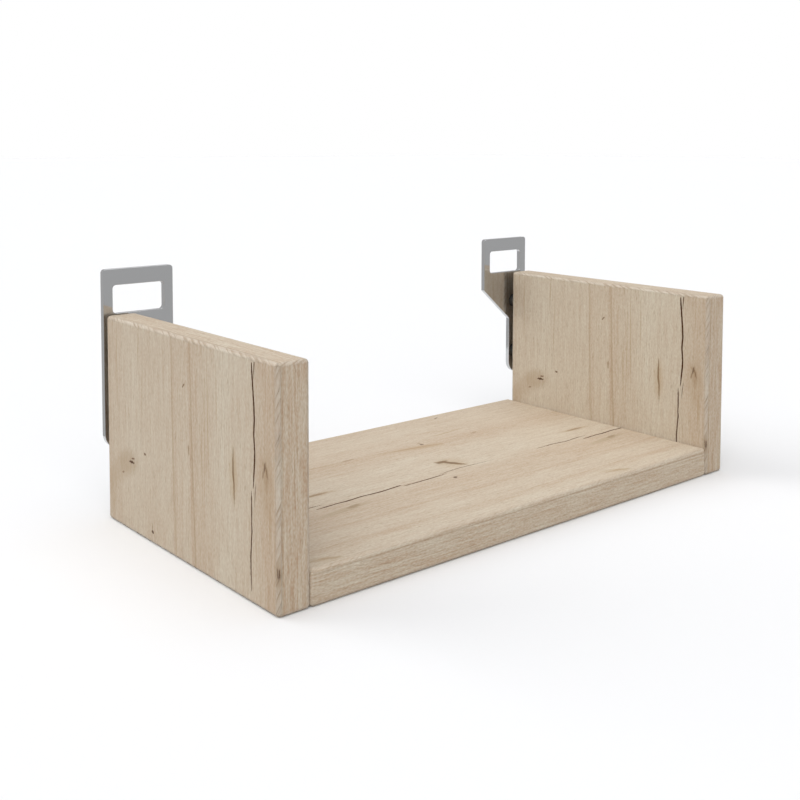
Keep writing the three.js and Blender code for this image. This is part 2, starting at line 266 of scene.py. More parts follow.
@dataclass(frozen=True)
class Crack:
    """A split that follows the grain, as (along, across, width) points in order along it."""

    points: tuple[Point, ...]
    depth: float = 0.45
    strength: float = 1.0
    tone: str = "#4a2c17"
    full_width: ClassVar[float] = 1.0  # where it is narrower than this it is shallower too
    thinnest: ClassVar[float] = 1e-6
    room: ClassVar[float] = 0.5  # kept free on both sides of its path in the curve that holds it
    soft: ClassVar[tuple[float, float]] = (1.35, 0.65)  # half widths where its colour starts and is full
    reach: ClassVar[float] = 0.4999  # of its length, from its middle: a hair less than half

    def carve(self, across: np.ndarray, along: np.ndarray) -> np.ndarray:
        """How deep the split is at each place.

        Args:
            across: places across the grain.
            along: places along the grain.

        Returns:
            The depths in millimetres.
        """
        places, centres, widths = np.array(self.points).T
        centre = np.interp(along, places, centres)
        half = np.interp(along, places, widths, left=0.0, right=0.0) / 2
        offset = np.abs(across - centre) / np.maximum(half, self.thinnest)
        return self.depth * np.clip(half / (self.full_width / 2), 0, 1) * np.clip(1 - offset**2, 0, 1)

    def paint(self, tree: Tree, across: Socket, along: Socket) -> Socket:
        """Adds the nodes that draw the split.

        Args:
            tree: the node tree.
            across: ragged place across the grain.
            along: place along the grain.

        Returns:
            Its strength inside the split, falling to 0 at its edges and ends.
        """
        places, centres, widths = zip(*self.points)
        start, end, widest = places[0], places[-1], max(widths)
        low, high = min(centres) - self.room, max(centres) + self.room
        share = add(tree, RANGE, (along, start, end))
        knots = [(place - start) / (end - start) for place in places]
        path, width = (add(tree, "ShaderNodeFloatCurve", {"Value": share}) for _ in range(2))
        shape_curve(path.node, [(knot, (c - low) / (high - low)) for knot, c in zip(knots, centres)])
        shape_curve(width.node, [(knot, w / widest) for knot, w in zip(knots, widths)])
        centre = add(tree, MATHS, (path, high - low, low), operation="MULTIPLY_ADD")
        offset = add(tree, MATHS, (across, centre), operation="SUBTRACT")
        gap = add(tree, MATHS, (offset,), operation="ABSOLUTE")
        half = add(tree, MATHS, (width, widest / 2), operation="MULTIPLY")
        outer, inner = (add(tree, MATHS, (half, part), operation="MULTIPLY") for part in self.soft)
        edge = add(
            tree, RANGE, (gap, outer, inner, 0.0, self.strength), interpolation_type="SMOOTHSTEP"
        )
        middle = add(tree, MATHS, (share, 0.5), operation="SUBTRACT")
        away = add(tree, MATHS, (middle,), operation="ABSOLUTE")
        inside = add(tree, MATHS, (away, self.reach), operation="LESS_THAN")
        return add(tree, MATHS, (edge, inside), operation="MULTIPLY")


@dataclass(frozen=True)
class Decor:
    """The pattern of one kind of board, measured across its grain from the front and along it."""

    name: str
    width: float
    tones: tuple[tuple[float, float], ...]  # (across, brownness) pairs
    lean: float = 0.0  # how far the streaks move across for each millimetre along
    cracks: tuple[Crack, ...] = ()
    marks: tuple[Mark, ...] = ()
    joint: float = 1e4  # where along the grain the pattern starts again
    period: float = 0.0  # how far back it starts, 0 where it doesn't
    slants: tuple[float, float] = (55.0, 62.0)  # degrees of the ripples, before and after turn_at
    turn_at: float = 30.0  # across the grain
    curl: tuple[float, float] = (0.25, 0.9)  # how strong they are between patches and in them
    contrast: float = 1.0  # of its fine streaks
    rim: float = 0.0  # how dark the line beside the first arris is
    zone: float = 32.0  # how far apart the tones of two kinds of edge lie
    # negative on the right side, where the paler print is painted light
    shade: float = 0.0  # how much browner the whole print is

    def carve(self, across: np.ndarray, along: np.ndarray) -> np.ndarray:
        """How deep the cracks are at each place, in millimetres."""
        along = along - self.period * (along > self.joint)
        return np.max([crack.carve(across, along) for crack in self.cracks], axis=0)


# Places across the sides are millimetres from the front, and places along the grain from the floor.
SIDE_DECOR = Decor(
    name="side",
    width=240.0,
    lean=0.027,
    tones=(
        (0, 0.74), (8, 0.74), (17, 0.66), (23, 0.46), (29, 0.34), (44, 0.30), (56, 0.18), (66, 0.16),
        (73, 0.36), (84, 0.48), (97, 0.54), (103, 0.66), (106.5, 0.80), (108, 0.42), (115, 0.38),
        (123, 0.48), (130, 0.58), (132, 0.66), (133.5, 0.36), (146, 0.34), (158, 0.37), (176, 0.38),
        (188, 0.27), (206, 0.31), (222, 0.44), (233, 0.58), (240, 0.58),
    ),
    cracks=(
        Crack((
            (76, 28.0, 0.2), (79, 27.7, 0.9), (86, 27.0, 1.4), (94, 26.2, 1.7), (100, 26.0, 1.4),
            (111, 27.0, 1.5), (121, 26.2, 1.6), (130, 26.7, 1.6), (141, 27.8, 1.5), (151, 28.8, 1.6),
            (157, 29.2, 0.9),
        )),
        Crack((
            (64, 26.6, 0.2), (68, 26.3, 0.7), (73, 25.8, 1.0), (78, 25.0, 0.7), (80, 24.8, 0.2),
        ), strength=0.5),
        Crack(((147, 26.9, 0.2), (150, 26.6, 0.8), (156, 26.1, 1.3), (158, 25.9, 1.1)), 0.25, 0.8, "#5f4630"),
        Crack((
            (8, 30.7, 0.2), (12, 30.7, 0.7), (19, 31.3, 1.2), (31, 31.3, 1.3), (41, 30.5, 1.2),
            (48, 29.8, 1.4), (53, 30.2, 1.1), (61, 30.0, 1.3), (69, 30.2, 1.2), (74, 30.4, 0.3),
        ), strength=0.88),
        Crack((
            (58, 51.2, 0.2), (64, 51.2, 0.8), (73, 51.3, 1.5), (79, 52.2, 2.0), (85, 52.4, 1.8),
            (91, 52.3, 1.1), (98, 51.9, 0.2),
        ), 0.3, 0.75, "#7d6244"),
    ),
    marks=(
        Mark(107.5, 118.0, 0.8, 55.0, 0.4, "#9f8663", turn=1.5),
        Mark(104.3, 38.0, 1.1, 50.0, 0.4, "#9f8663", turn=2.6),
        Mark(134.2, 112.0, 0.9, 60.0, 0.3, "#a28a68", turn=0.6),
        Mark(131.4, 30.0, 1.0, 44.0, 0.3, "#a28a68", turn=2.0),
        Mark(84.6, 112.0, 0.6, 36.0, 0.4, "#a58962", turn=0.8),
        Mark(88.8, 106.0, 0.5, 40.0, 0.35, "#a58962", turn=-0.6),
        Mark(93.0, 78.0, 0.6, 34.0, 0.3, "#a58962", turn=1.0),
        Mark(73.4, 128.0, 0.6, 24.0, 0.35, "#a58962"),
        Mark(186.0, 146.0, 0.6, 18.0, 0.45, "#a0835c", turn=-3),
        Mark(180.6, 112.0, 0.5, 26.0, 0.3, "#a58962", turn=-2),
        Mark(222.0, 118.0, 0.6, 34.0, 0.3, "#a58962"),
        Mark(12.0, 82.0, 7.0, 22.0, 0.3, "#a58863"),
        Mark(13.0, 87.0, 3.0, 8.0, 0.35, "#9a7a55", turn=6),
        Mark(12.2, 90.0, 0.8, 4.6, 0.8, "#7d603f", turn=16),
        Mark(14.6, 92.6, 0.8, 3.2, 0.85, "#6c5036", turn=-12, softness=0.9),
        Mark(16.4, 87.4, 0.7, 2.6, 0.6, "#7d603f", turn=-10),
        Mark(15.8, 94.5, 1.2, 1.6, 0.4, "#9a7d58"),
        Mark(8.5, 57.0, 1.4, 13.0, 0.35, "#a5865e"),
        Mark(52.0, 79.0, 4.5, 17.0, 0.4, "#b0936b"),
        Mark(117.6, 127.0, 0.7, 2.2, 0.85, "#70522f", turn=134, softness=0.9),
        Mark(111.0, 82.5, 0.9, 3.6, 0.7, "#8f7552"),
        Mark(177.0, 65.0, 1.5, 0.9, 0.9, "#664527", softness=0.8),
        Mark(204.0, 53.0, 15.0, 9.0, 0.38, "#a58b6b", turn=8),
        Mark(219.0, 44.0, 9.0, 17.0, 0.3, "#a98f70", turn=124),
        Mark(231.0, 26.0, 6.0, 16.0, 0.3, "#a98f70"),
        Mark(198.6, 54.0, 1.0, 4.2, 1.0, "#55331a", turn=93, softness=0.7),
        Mark(196.6, 57.2, 0.7, 2.4, 0.9, "#6b4526", turn=100, softness=0.8),
        Mark(213.2, 43.2, 0.7, 2.0, 0.7, "#7d5c3a", turn=105, softness=0.9),
        Mark(166.0, 9.2, 1.5, 1.1, 0.95, "#553620", softness=0.7),
        Mark(166.2, 12.4, 0.5, 2.8, 0.7, "#8b7355"),
        Mark(0.4, 26.5, 2.6, 9.0, 0.4, "#8f7048"),
        Mark(0.7, 28.5, 0.7, 3.6, 0.7, "#4e2f14", turn=4, softness=0.8),
    ),
)

# The right side's print is made paler all over. This is painted light: it lifts the inner face out of the
# shade and warm bounce that the board and the left side give it.
RIGHT_SIDE_PAINTED_LIGHT_DECOR = replace(SIDE_DECOR, name="right_side", shade=-0.18)

# Places across the board are millimetres from the front, and places along the grain from its left end.
BOARD_DECOR = Decor(
    name="board",
    width=245.0,
    lean=-0.006,
    joint=261.0,
    period=301.0,
    tones=(
        (0, 0.42), (6, 0.26), (14, 0.26), (20, 0.50), (24, 0.60), (28, 0.34), (40, 0.28), (47, 0.40),
        (51, 0.62), (53, 0.62), (58, 0.46), (66, 0.56), (78, 0.60), (88, 0.50), (97, 0.34), (108, 0.18),
        (120, 0.28), (134, 0.26), (146, 0.38), (158, 0.56), (170, 0.68), (178, 0.54), (188, 0.38),
        (196, 0.50), (206, 0.34), (222, 0.40), (236, 0.46), (245, 0.50),
    ),
    cracks=(
        Crack((
            (69, 90.5, 0.3), (76, 90.9, 1.3), (88, 91.7, 1.2), (99, 91.5, 1.5), (113, 92.9, 1.2),
            (131, 92.2, 1.5), (140, 92.8, 1.5), (153, 94.2, 1.2), (155, 94.3, 0.3),
        )),
        Crack((
            (154, 91.2, 0.3), (158, 91.4, 1.1), (172, 91.9, 1.5), (187, 92.6, 1.4), (199, 93.6, 0.9),
            (203, 93.9, 0.2),
        ), strength=0.8),
        Crack((
            (197, 95.6, 0.2), (202, 96.4, 0.7), (214, 97.8, 1.1), (224, 98.3, 1.1), (239, 97.8, 0.8),
            (250, 97.4, 0.5), (260, 97.0, 0.2),
        ), strength=0.6),
        Crack((
            (13, 96.0, 0.2), (22, 96.4, 0.8), (35, 97.0, 1.2), (44, 96.0, 1.3), (52, 95.2, 1.2),
            (62, 96.4, 1.1), (71, 97.0, 1.0), (79, 96.6, 0.2),
        ), strength=0.85),
    ),
    marks=(
        Mark(119.6, 221.0, 2.5, 6.2, 0.9, "#6a5136", turn=6, softness=0.7),
        Mark(121.4, 217.6, 1.2, 3.0, 0.7, "#7a5f3e", turn=-30, softness=0.9),
        Mark(112.5, 226.0, 2.9, 9.6, 0.95, "#644b32", turn=-58, softness=0.8),
        Mark(105.6, 230.0, 1.6, 5.4, 0.75, "#7a5f3e", turn=-46, softness=0.9),
        Mark(113.0, 226.0, 12.0, 13.0, 0.3, "#ab8f69"),
        Mark(81.8, 201.5, 1.5, 2.4, 0.9, "#604833", turn=30, softness=0.8),
        Mark(171.2, 243.4, 2.0, 1.7, 0.85, "#6b563f", softness=0.8),
        Mark(175.5, 243.8, 2.2, 1.2, 0.5, "#8d7454"),
        Mark(167.0, 228.0, 1.5, 36.0, 0.5, "#a1845c", turn=-8.3),
        Mark(164.5, 240.0, 5.0, 26.0, 0.35, "#ab8f69", turn=-8.3),
        Mark(232.6, 14.8, 0.9, 3.4, 0.8, "#6f5a43", turn=24, softness=0.9),
        Mark(117.8, 88.0, 1.5, 9.5, 0.7, "#6f583c", softness=0.9),
        Mark(117.8, 88.0, 2.6, 18.0, 0.45, "#a58760"),
        Mark(79.0, 95.0, 2.4, 6.0, 0.55, "#85704f", turn=12),
        Mark(76.5, 84.0, 3.5, 24.0, 0.45, "#a08a69", turn=6),
        Mark(174.4, 162.5, 1.3, 7.0, 0.6, "#94795a", turn=3),
        Mark(173.5, 135.0, 1.2, 24.0, 0.35, "#a38965"),
        Mark(170.6, 7.0, 1.3, 4.0, 0.6, "#94795a", turn=14),
        Mark(186.5, -12.0, 1.1, 17.0, 0.45, "#a1845c", turn=6),
        Mark(8.5, 22.0, 1.6, 8.0, 0.4, "#967a54", turn=-20),
        Mark(11.0, 14.0, 4.0, 14.0, 0.3, "#a98d66", turn=-24),
    ),
)

# Three kinds of edge lie side by side: upright edges, level edges of a side, and the board's edges. The paler
# tones of the level edges and the board's edges are painted light, for the stronger light on the tops and
# against the floor's shade on the board's front.
EDGING_DECOR = Decor(
    name="edging",
    width=96.0,
    slants=(84.0, 76.0),
    turn_at=9.0,
    curl=(0.9, 1.6),
    contrast=1.9,
    rim=0.28,
    tones=((0, 0.60), (9, 0.68), (28, 0.60), (32, 0.40), (60, 0.44), (64, 0.42), (96, 0.48)),
    marks=(
        Mark(0.4, 26.5, 2.6, 9.0, 0.45, "#8f7048"),
        Mark(0.9, 28.5, 0.6, 3.0, 0.9, "#4e2f14", turn=4, softness=0.9),
    ),
)


@dataclass(frozen=True)
class OakFinish:
    """Melamine-faced chipboard: an oak print under a resin skin that is brushed along the grain.

    It gives the eye a matt, even board with fine dark pores and a slight sheen that follows the streaks.
    Along every rounded edge it is painted paler, a painted highlight, and slanting notches are pressed into
    it, each with a painted shade line under it.
    """

    # Colours of the print, of the painted highlight along the arrises and of the painted shade under the
    # notches.
    lightest: str = "#cbbfab"
    darkest: str = "#b8a087"
    pore: str = "#9b8468"
    # painted highlight along the rounded edges
    arris_highlight: str = "#c9c0b3"
    # painted shade under each notch; the rim line beside the first arris takes this colour too
    notch: str = "#94795a"
    # The resin skin.
    roughness: float = 0.7
    roughness_spread: float = 0.16
    gloss: float = 0.4
    relief: float = 0.3  # millimetres
    bump: float = 0.8
    # The wood's own sizes, in millimetres.
    medium: Streak = Streak(4.5, 130.0, 3.1)
    fine: Streak = Streak(1.5, 40.0, 7.7, 3.0)
    cloud: Streak = Streak(26.0, 70.0, 12.3)
    pores: Streak = Streak(0.55, 7.0, 18.9, 1.0)  # about twice as wide as real ones, so that they show
    fleck: Streak = Streak(0.75, 2.2, 41.0, 0.0)
    curls: tuple[Streak, Streak] = (Streak(7.0, 1.5, 31.0, 1.0), Streak(7.0, 1.5, 37.0, 1.0))
    splinter: Streak = Streak(1.2, 3.0, 23.0)
    # How much browner each makes the print. The decor's contrast acts on the fine streaks and the flecks.
    medium_share: float = 0.5
    fine_share: float = 1.3
    cloud_share: float = 0.4
    ripple_share: float = 0.35
    fleck_shares: tuple[float, float] = (0.6, 0.3)  # as it is, and for each unit of contrast
    tone_limits: tuple[float, float] = (-0.5, 1.6)
    # How high each stands, as a share of the relief.
    fine_height: float = 0.35
    ripple_height: float = 0.9
    notch_height: float = 3.0
    pore_height: float = -0.4
    crack_height: float = -0.8
    # Where each pattern fades in, and how strong it is.
    pore_fade: Fade = (0.55, 0.75, 0.0, 0.45)
    # how strong the painted highlight along the arrises is
    arris_highlight_strength: float = 0.45
    wander: float = 5.0  # millimetres that the bands of tone stray
    tear: float = 0.5  # millimetres that a split's edges stray
    ragged_cells: Point = (0.9, 0.3, 1.0)  # of the noise that tears the marks, for each millimetre
    ragged_shift: Point = (1.4, 2.2, 0.0)  # millimetres that a mark's edges stray
    rim_place: float = 3.6  # millimetres from the arris
    rim_reach: tuple[float, float] = (0.9, 0.2)  # millimetres from its middle
    curl_reach: tuple[float, float] = (0.42, 0.62)  # of the cloud, between patches and in them
    curl_blend: float = 3.0  # millimetres on each side of the place where the ripples turn
    arris_fade: Fade = (4.5, 2.0, 0.0, 1.2)  # millimetres from the arris, and the ripples added there
    notch_pitch: float = 9.0  # millimetres
    notch_wave: float = 1.6  # pitches between changes of the spacing
    notch_drift: float = 3.0  # pitches that a notch may stray
    notch_fade: Fade = (0.3, 0.6, 0.4, 1.0)  # of the drift, from weak notches to strong ones
    # the dark line under each notch is painted shade
    notch_shade_fade: Fade = (0.45, 0.98, 0.0, 0.65)  # of one notch, to the dark line under it

    @cache
    def material(self, decor: Decor) -> Material:
        """Builds the finish with one decor's tones, cracks and marks.

        Args:
            decor: the pattern to print.

        Returns:
            The material.
        """
        material, tree = new_material(f"printed_oak_{decor.name}")
        uv = add(tree, "ShaderNodeUVMap", uv_map=GRAIN_UV)
        flat = add(tree, VECTOR_MATHS, {0: uv, "Scale": 1 / MM}, operation="SCALE")
        place = self._repeat(tree, flat, decor) if decor.period else flat
        across = add(tree, "ShaderNodeSeparateXYZ", (place,))
        along = across.node.outputs[1]
        medium, fine, cloud, fleck, pores = (
            streak.noise(tree, place)
            for streak in (self.medium, self.fine, self.cloud, self.fleck, self.pores)
        )
        ripple = self._ripple(tree, place, across, decor, cloud)
        brownness = self._brownness(tree, across, along, decor, (medium, fine, cloud, ripple, fleck))
        colour = add(
            tree, MIX,
            {"Factor_Float": brownness, "A_Color": linear(self.lightest), "B_Color": linear(self.darkest)},
            "Result_Color", data_type="RGBA", clamp_factor=False,
        )
        pore = add(tree, RANGE, (pores, *self.pore_fade), interpolation_type="SMOOTHSTEP")
        # The paler arris is a painted highlight, and the dark line under each notch is painted shade.
        rounded, step, notch_shade = self._notches(tree)
        arris_highlight = add(tree, MATHS, (rounded, self.arris_highlight_strength), operation="MULTIPLY")
        layers = [(pore, self.pore), (arris_highlight, self.arris_highlight), (notch_shade, self.notch)]
        if decor.rim:
            layers.append((self._rim(tree, across, decor), self.notch))
        ragged = self._ragged(tree, place)
        layers += [(mark.paint(tree, ragged), mark.tone) for mark in decor.marks]
        stray = self.splinter.noise(tree, place)
        jitter = add(tree, MATHS, (stray, self.tear, -self.tear / 2), operation="MULTIPLY_ADD")
        torn = add(tree, MATHS, (across, jitter), operation="ADD")
        splits = [(crack.paint(tree, torn, along), crack.tone) for crack in decor.cracks]
        for amount, tone in layers + splits:
            colour = add(
                tree, MIX, {"Factor_Float": amount, "A_Color": colour, "B_Color": linear(tone)},
                "Result_Color", data_type="RGBA",
            )

        height = add(tree, MATHS, (ripple, self.ripple_height), operation="MULTIPLY")
        heights = ((fine, self.fine_height), (step, self.notch_height), (pore, self.pore_height))
        for part, share in heights:
            height = add(tree, MATHS, (part, share, height), operation="MULTIPLY_ADD")
        gloss = self.gloss
        if splits:
            masks = [mask for mask, _ in splits]
            split = reduce(lambda one, other: add(tree, MATHS, (one, other), operation="MAXIMUM"), masks)
            height = add(tree, MATHS, (split, self.crack_height, height), operation="MULTIPLY_ADD")
            gloss = add(tree, MATHS, (split, -self.gloss, self.gloss), operation="MULTIPLY_ADD")
        spread = self.roughness_spread
        sheen = add(tree, MATHS, (fine, spread, self.roughness - spread / 2), operation="MULTIPLY_ADD")
        normal = add(
            tree, BUMP, {"Strength": self.bump, "Distance": self.relief * MM, "Height": height}
        )
        shader = add(
            tree, PRINCIPLED,
            {"Base Color": colour, "Roughness": sheen, "Specular IOR Level": gloss, "Normal": normal},
        )
        add(tree, SURFACE, (shader,))
        return material

    def _repeat(self, tree: Tree, place: Socket, decor: Decor) -> Socket:
        """Starts the pattern again past the decor's joint.

        Args:
            tree: the node tree.
            place: decor coordinates.
            decor: the board's pattern.

        Returns:
            The coordinates, moved back past the joint.
        """
        along = add(tree, "ShaderNodeSeparateXYZ", (place,), 1)
        past = add(tree, MATHS, (along, decor.joint), operation="GREATER_THAN")
        shift = add(tree, MATHS, (past, -decor.period), operation="MULTIPLY")
        back = add(tree, "ShaderNodeCombineXYZ", {1: shift})
        return add(tree, VECTOR_MATHS, (place, back), operation="ADD")

    def _brownness(
        self, tree: Tree, across: Socket, along: Socket, decor: Decor, noises: tuple[Socket, ...]
    ) -> Socket:
        """Adds the board's bands of tone to its streaks.

        Args:
            tree: the node tree.
            across: place across the grain.
            along: place along the grain.
            decor: the board's pattern.
            noises: medium and fine streaks, clouds, ripples and flecks.

        Returns:
            0 for the lightest tone and 1 for the darkest.
        """
        medium, fine, cloud, ripple, fleck = noises
        straight = add(tree, MATHS, (along, -decor.lean, across), operation="MULTIPLY_ADD")
        wander = add(tree, MATHS, (cloud, self.wander, -self.wander / 2), operation="MULTIPLY_ADD")
        bent = add(tree, MATHS, (straight, wander), operation="ADD")
        band = add(tree, MATHS, (bent, decor.width), operation="DIVIDE")
        curve = add(tree, "ShaderNodeFloatCurve", {"Value": band})
        shape_curve(curve.node, [(place / decor.width, value) for place, value in decor.tones])
        total = add(tree, MATHS, (curve, decor.shade), operation="ADD")
        plain, sharpened = self.fleck_shares
        shares = (
            (medium, self.medium_share), (fine, self.fine_share * decor.contrast), (cloud, self.cloud_share),
            (ripple, self.ripple_share), (fleck, plain + sharpened * decor.contrast),
        )
        for noise, share in shares:
            level = add(tree, MATHS, (total, share / 2), operation="SUBTRACT")
            total = add(tree, MATHS, (noise, share, level), operation="MULTIPLY_ADD")
        return add(tree, "ShaderNodeClamp", (total, *self.tone_limits))

    def _rim(self, tree: Tree, across: Socket, decor: Decor) -> Socket:
        """A thin line beside the first arris of an edge face, where its flat part begins.

        Args:
            tree: the node tree.
            across: place across the grain.
            decor: the edge's pattern.

        Returns:
            The line's strength.
        """
        within = add(tree, MATHS, (across, decor.zone), operation="MODULO")
        offset = add(tree, MATHS, (within, self.rim_place), operation="SUBTRACT")
        away = add(tree, MATHS, (offset,), operation="ABSOLUTE")
        return add(
            tree, RANGE, (away, *self.rim_reach, 0.0, decor.rim), interpolation_type="SMOOTHSTEP"
        )

    def _notches(self, tree: Tree) -> tuple[Socket, Socket, Socket]:
        """The slanting notches along a hewn arris, like overlapping scales.

        Args:
            tree: the node tree.

        Returns:
            Where the edge is rounded, the height of the scales, and the painted shade line under each.
        """
        uv = add(tree, "ShaderNodeUVMap", uv_map=ARRIS_UV)
        flat = add(tree, VECTOR_MATHS, {0: uv, "Scale": 1 / MM}, operation="SCALE")
        place = add(tree, "ShaderNodeSeparateXYZ", (flat,))
        rounded = place.node.outputs[1]
        slow = add(tree, MATHS, (place, self.notch_wave * self.notch_pitch), operation="DIVIDE")
        drift = add(tree, NOISE, {"W": slow, "Scale": 1.0, "Detail": 1.0}, noise_dimensions="1D")
        even = add(tree, MATHS, (place, self.notch_pitch), operation="DIVIDE")
        turns = add(tree, MATHS, (drift, self.notch_drift, even), operation="MULTIPLY_ADD")
        scale = add(tree, MATHS, (turns,), operation="FRACT")
        strong = add(tree, RANGE, (drift, *self.notch_fade))
        depth = add(tree, MATHS, (rounded, strong), operation="MULTIPLY")
        line = add(tree, RANGE, (scale, *self.notch_shade_fade), interpolation_type="SMOOTHSTEP")
        step, notch_shade = (add(tree, MATHS, (part, depth), operation="MULTIPLY") for part in (scale, line))
        return rounded, step, notch_shade

    def _ripple(self, tree: Tree, place: Socket, across: Socket, decor: Decor, cloud: Socket) -> Socket:
        """The curl of the grain: short slanting ripples, in patches on a face and all along an edge.

        Args:
            tree: the node tree.
            place: decor coordinates.
            across: place across the grain.
            decor: the board's pattern.
            cloud: slow noise that the patches follow.

        Returns:
            The ripples, from 0 to 1 about 0.5.
        """
        slants = []
        for angle, curl in zip(decor.slants, self.curls):
            turned = add(
                tree, "ShaderNodeVectorRotate", {"Vector": place, "Angle": math.radians(-angle)},
                rotation_type="Z_AXIS",
            )
            slants.append(curl.noise(tree, turned))
        turn_fade = (decor.turn_at - self.curl_blend, decor.turn_at + self.curl_blend)
        turn = add(tree, RANGE, (across, *turn_fade), interpolation_type="SMOOTHSTEP")
        both = add(
            tree, MIX, {"Factor_Float": turn, "A_Float": slants[0], "B_Float": slants[1]}, data_type="FLOAT"
        )
        patches = add(
            tree, RANGE, (cloud, *self.curl_reach, *decor.curl), interpolation_type="SMOOTHSTEP"
        )
        arris = add(tree, RANGE, (across, *self.arris_fade), interpolation_type="SMOOTHSTEP")
        amount = add(tree, MATHS, (patches, arris), operation="ADD")
        centred = add(tree, MATHS, (both, 0.5), operation="SUBTRACT")
        return add(tree, MATHS, (centred, amount, 0.5), operation="MULTIPLY_ADD")

    def _ragged(self, tree: Tree, place: Socket) -> Socket:
        """Shifts the decor's coordinates unevenly, which tears the edges of what is drawn on them.

        Args:
            tree: the node tree.
            place: decor coordinates.

        Returns:
            The shifted coordinates.
        """
        squeezed = add(tree, VECTOR_MATHS, (place, self.ragged_cells), operation="MULTIPLY")
        noise = add(tree, NOISE, {"Vector": squeezed, "Scale": 1.0, "Detail": 2.0}, "Color")
        back = tuple(-reach / 2 for reach in self.ragged_shift)
        shift = add(tree, VECTOR_MATHS, (noise, self.ragged_shift, back), operation="MULTIPLY_ADD")
        return add(tree, VECTOR_MATHS, (place, shift), operation="ADD")


@dataclass(frozen=True)
class MetalFinish:
    """A bare metal: its colour, how rough its surface is, and how uneven."""

    name: str
    colour: str
    roughness: float
    mottle: float = 0.05  # how far the roughness varies
    grain: float = 2.0  # millimetres, coarser than the real one where that is too fine to show
    relief: float = 0.004  # millimetres
    bump: float = 0.5

    @cache
    def material(self) -> Material:
        """Builds the finish.

        Returns:
            The material.
        """
        material, tree = new_material(self.name)
        place = add(tree, "ShaderNodeTexCoord", give="Object")
        noise = add(tree, NOISE, {"Vector": place, "Scale": 1 / (self.grain * MM), "Detail": 3.0})
        smoothest = self.roughness - self.mottle
        rough = add(tree, MATHS, (noise, 2 * self.mottle, smoothest), operation="MULTIPLY_ADD")
        normal = add(
            tree, BUMP, {"Strength": self.bump, "Distance": self.relief * MM, "Height": noise}
        )
        shader = add(
            tree, PRINCIPLED,
            {"Base Color": linear(self.colour), "Metallic": 1.0, "Roughness": rough, "Normal": normal},
        )
        add(tree, SURFACE, (shader,))
        return material


@dataclass(frozen=True)
class MatrixFinish:
    """A matt solid with grains or chips in it, such as moulded plastic, beech or chipboard."""

    name: str
    light: str
    dark: str
    roughness: float
    cell: Point = (0.4, 0.4, 0.4)  # millimetres along each axis, coarse enough to show
    relief: float = 0.02  # millimetres
    bump: float = 0.5
    tone_reach: tuple[float, float] = (0.3, 0.7)  # of the noise, from dark to light

    @cache
    def material(self) -> Material:
        """Builds the finish.

        Returns:
            The material.
        """
        material, tree = new_material(self.name)
        place = add(tree, "ShaderNodeTexCoord", give="Object")
        scale = tuple(1 / (size * MM) for size in self.cell)
        scaled = add(tree, VECTOR_MATHS, (place, scale), operation="MULTIPLY")
        noise = add(tree, NOISE, {"Vector": scaled, "Scale": 1.0, "Detail": 3.0, "Roughness": 0.6})
        share = add(tree, RANGE, (noise, *self.tone_reach))
        colour = add(
            tree, MIX, {"Factor_Float": share, "A_Color": linear(self.dark), "B_Color": linear(self.light)},
            "Result_Color", data_type="RGBA",
        )
        normal = add(
            tree, BUMP, {"Strength": self.bump, "Distance": self.relief * MM, "Height": noise}
        )
        shader = add(
            tree, PRINCIPLED, {"Base Color": colour, "Roughness": self.roughness, "Normal": normal}
        )
        add(tree, SURFACE, (shader,))
        return material


# Matt, dry oak boards, painted paler along their rounded edges as a painted highlight.
OAK = OakFinish()
# Rolled sheet steel, polished: nearly a mirror, a little wavy over a few millimetres.
POLISHED_STEEL = MetalFinish("polished_steel", "#c6c7c8", 0.07, 0.02, 6.0, 0.002)
# Turned steel with a bright zinc coat: a cool grey shine, blurred a little.
ZINC_PLATE = MetalFinish("bright_zinc_plate", "#b4b7ba", 0.3, 0.08, 0.6)
# Steel tube with a dulled zinc coat: dark, blurred and nearly colourless.
DULL_ZINC = MetalFinish("dull_zinc_plate", "#6d6c6a", 0.55, 0.08, 0.6)
# Brass turned from bar: a warm yellow, satin shine.
BRASS = MetalFinish("turned_brass", "#c9ab68", 0.3, 0.06, 0.6)
# Zinc alloy as it leaves the die: grey and dull, with a fine pitted skin.
CAST_ZINC = MetalFinish("die_cast_zinc", "#9c9ea0", 0.48, 0.1, 0.8, 0.03)
# Moulded polypropylene, coloured to go with the oak: soft and even, with hardly a sheen.
CAP_PLASTIC = MatrixFinish("moulded_beige_plastic", "#bcac92", "#b1a086", 0.5)
# Turned beech: pale pinkish brown with fine lines along the dowel.
BEECH = MatrixFinish("turned_beech", "#dcb98c", "#bf9463", 0.7, (9.0, 0.8, 0.8), 0.03)
# Sawn and drilled chipboard: rough, with light and dark chips.
CHIPBOARD = MatrixFinish("raw_chipboard", "#d0ae7d", "#93734b", 0.9, (2.2, 2.2, 1.0), 0.2)


# Meshes


def put(name: str, data: bpy.types.ID) -> bpy.types.Object:
    """Puts a mesh, a lamp or a camera in the scene.

    Args:
        name: the object's name.
        data: the mesh, lamp or camera.

    Returns:
        The object.
    """
    piece = bpy.data.objects.new(name, data)
    bpy.context.scene.collection.objects.link(piece)
    return piece


def weld(corners: np.ndarray, decimals: int = 4) -> tuple[list, np.ndarray]:
    """Merges corners that lie together.

    Args:
        corners: the corners of the faces, one after another, in millimetres.
        decimals: how closely they are compared.

    Returns:
        The merged points in metres, and which of them each corner is.
    """
    rounded = np.round(corners, decimals)
    _, first, index = np.unique(rounded, axis=0, return_index=True, return_inverse=True)
    return (corners[first] * MM).tolist(), index.ravel()


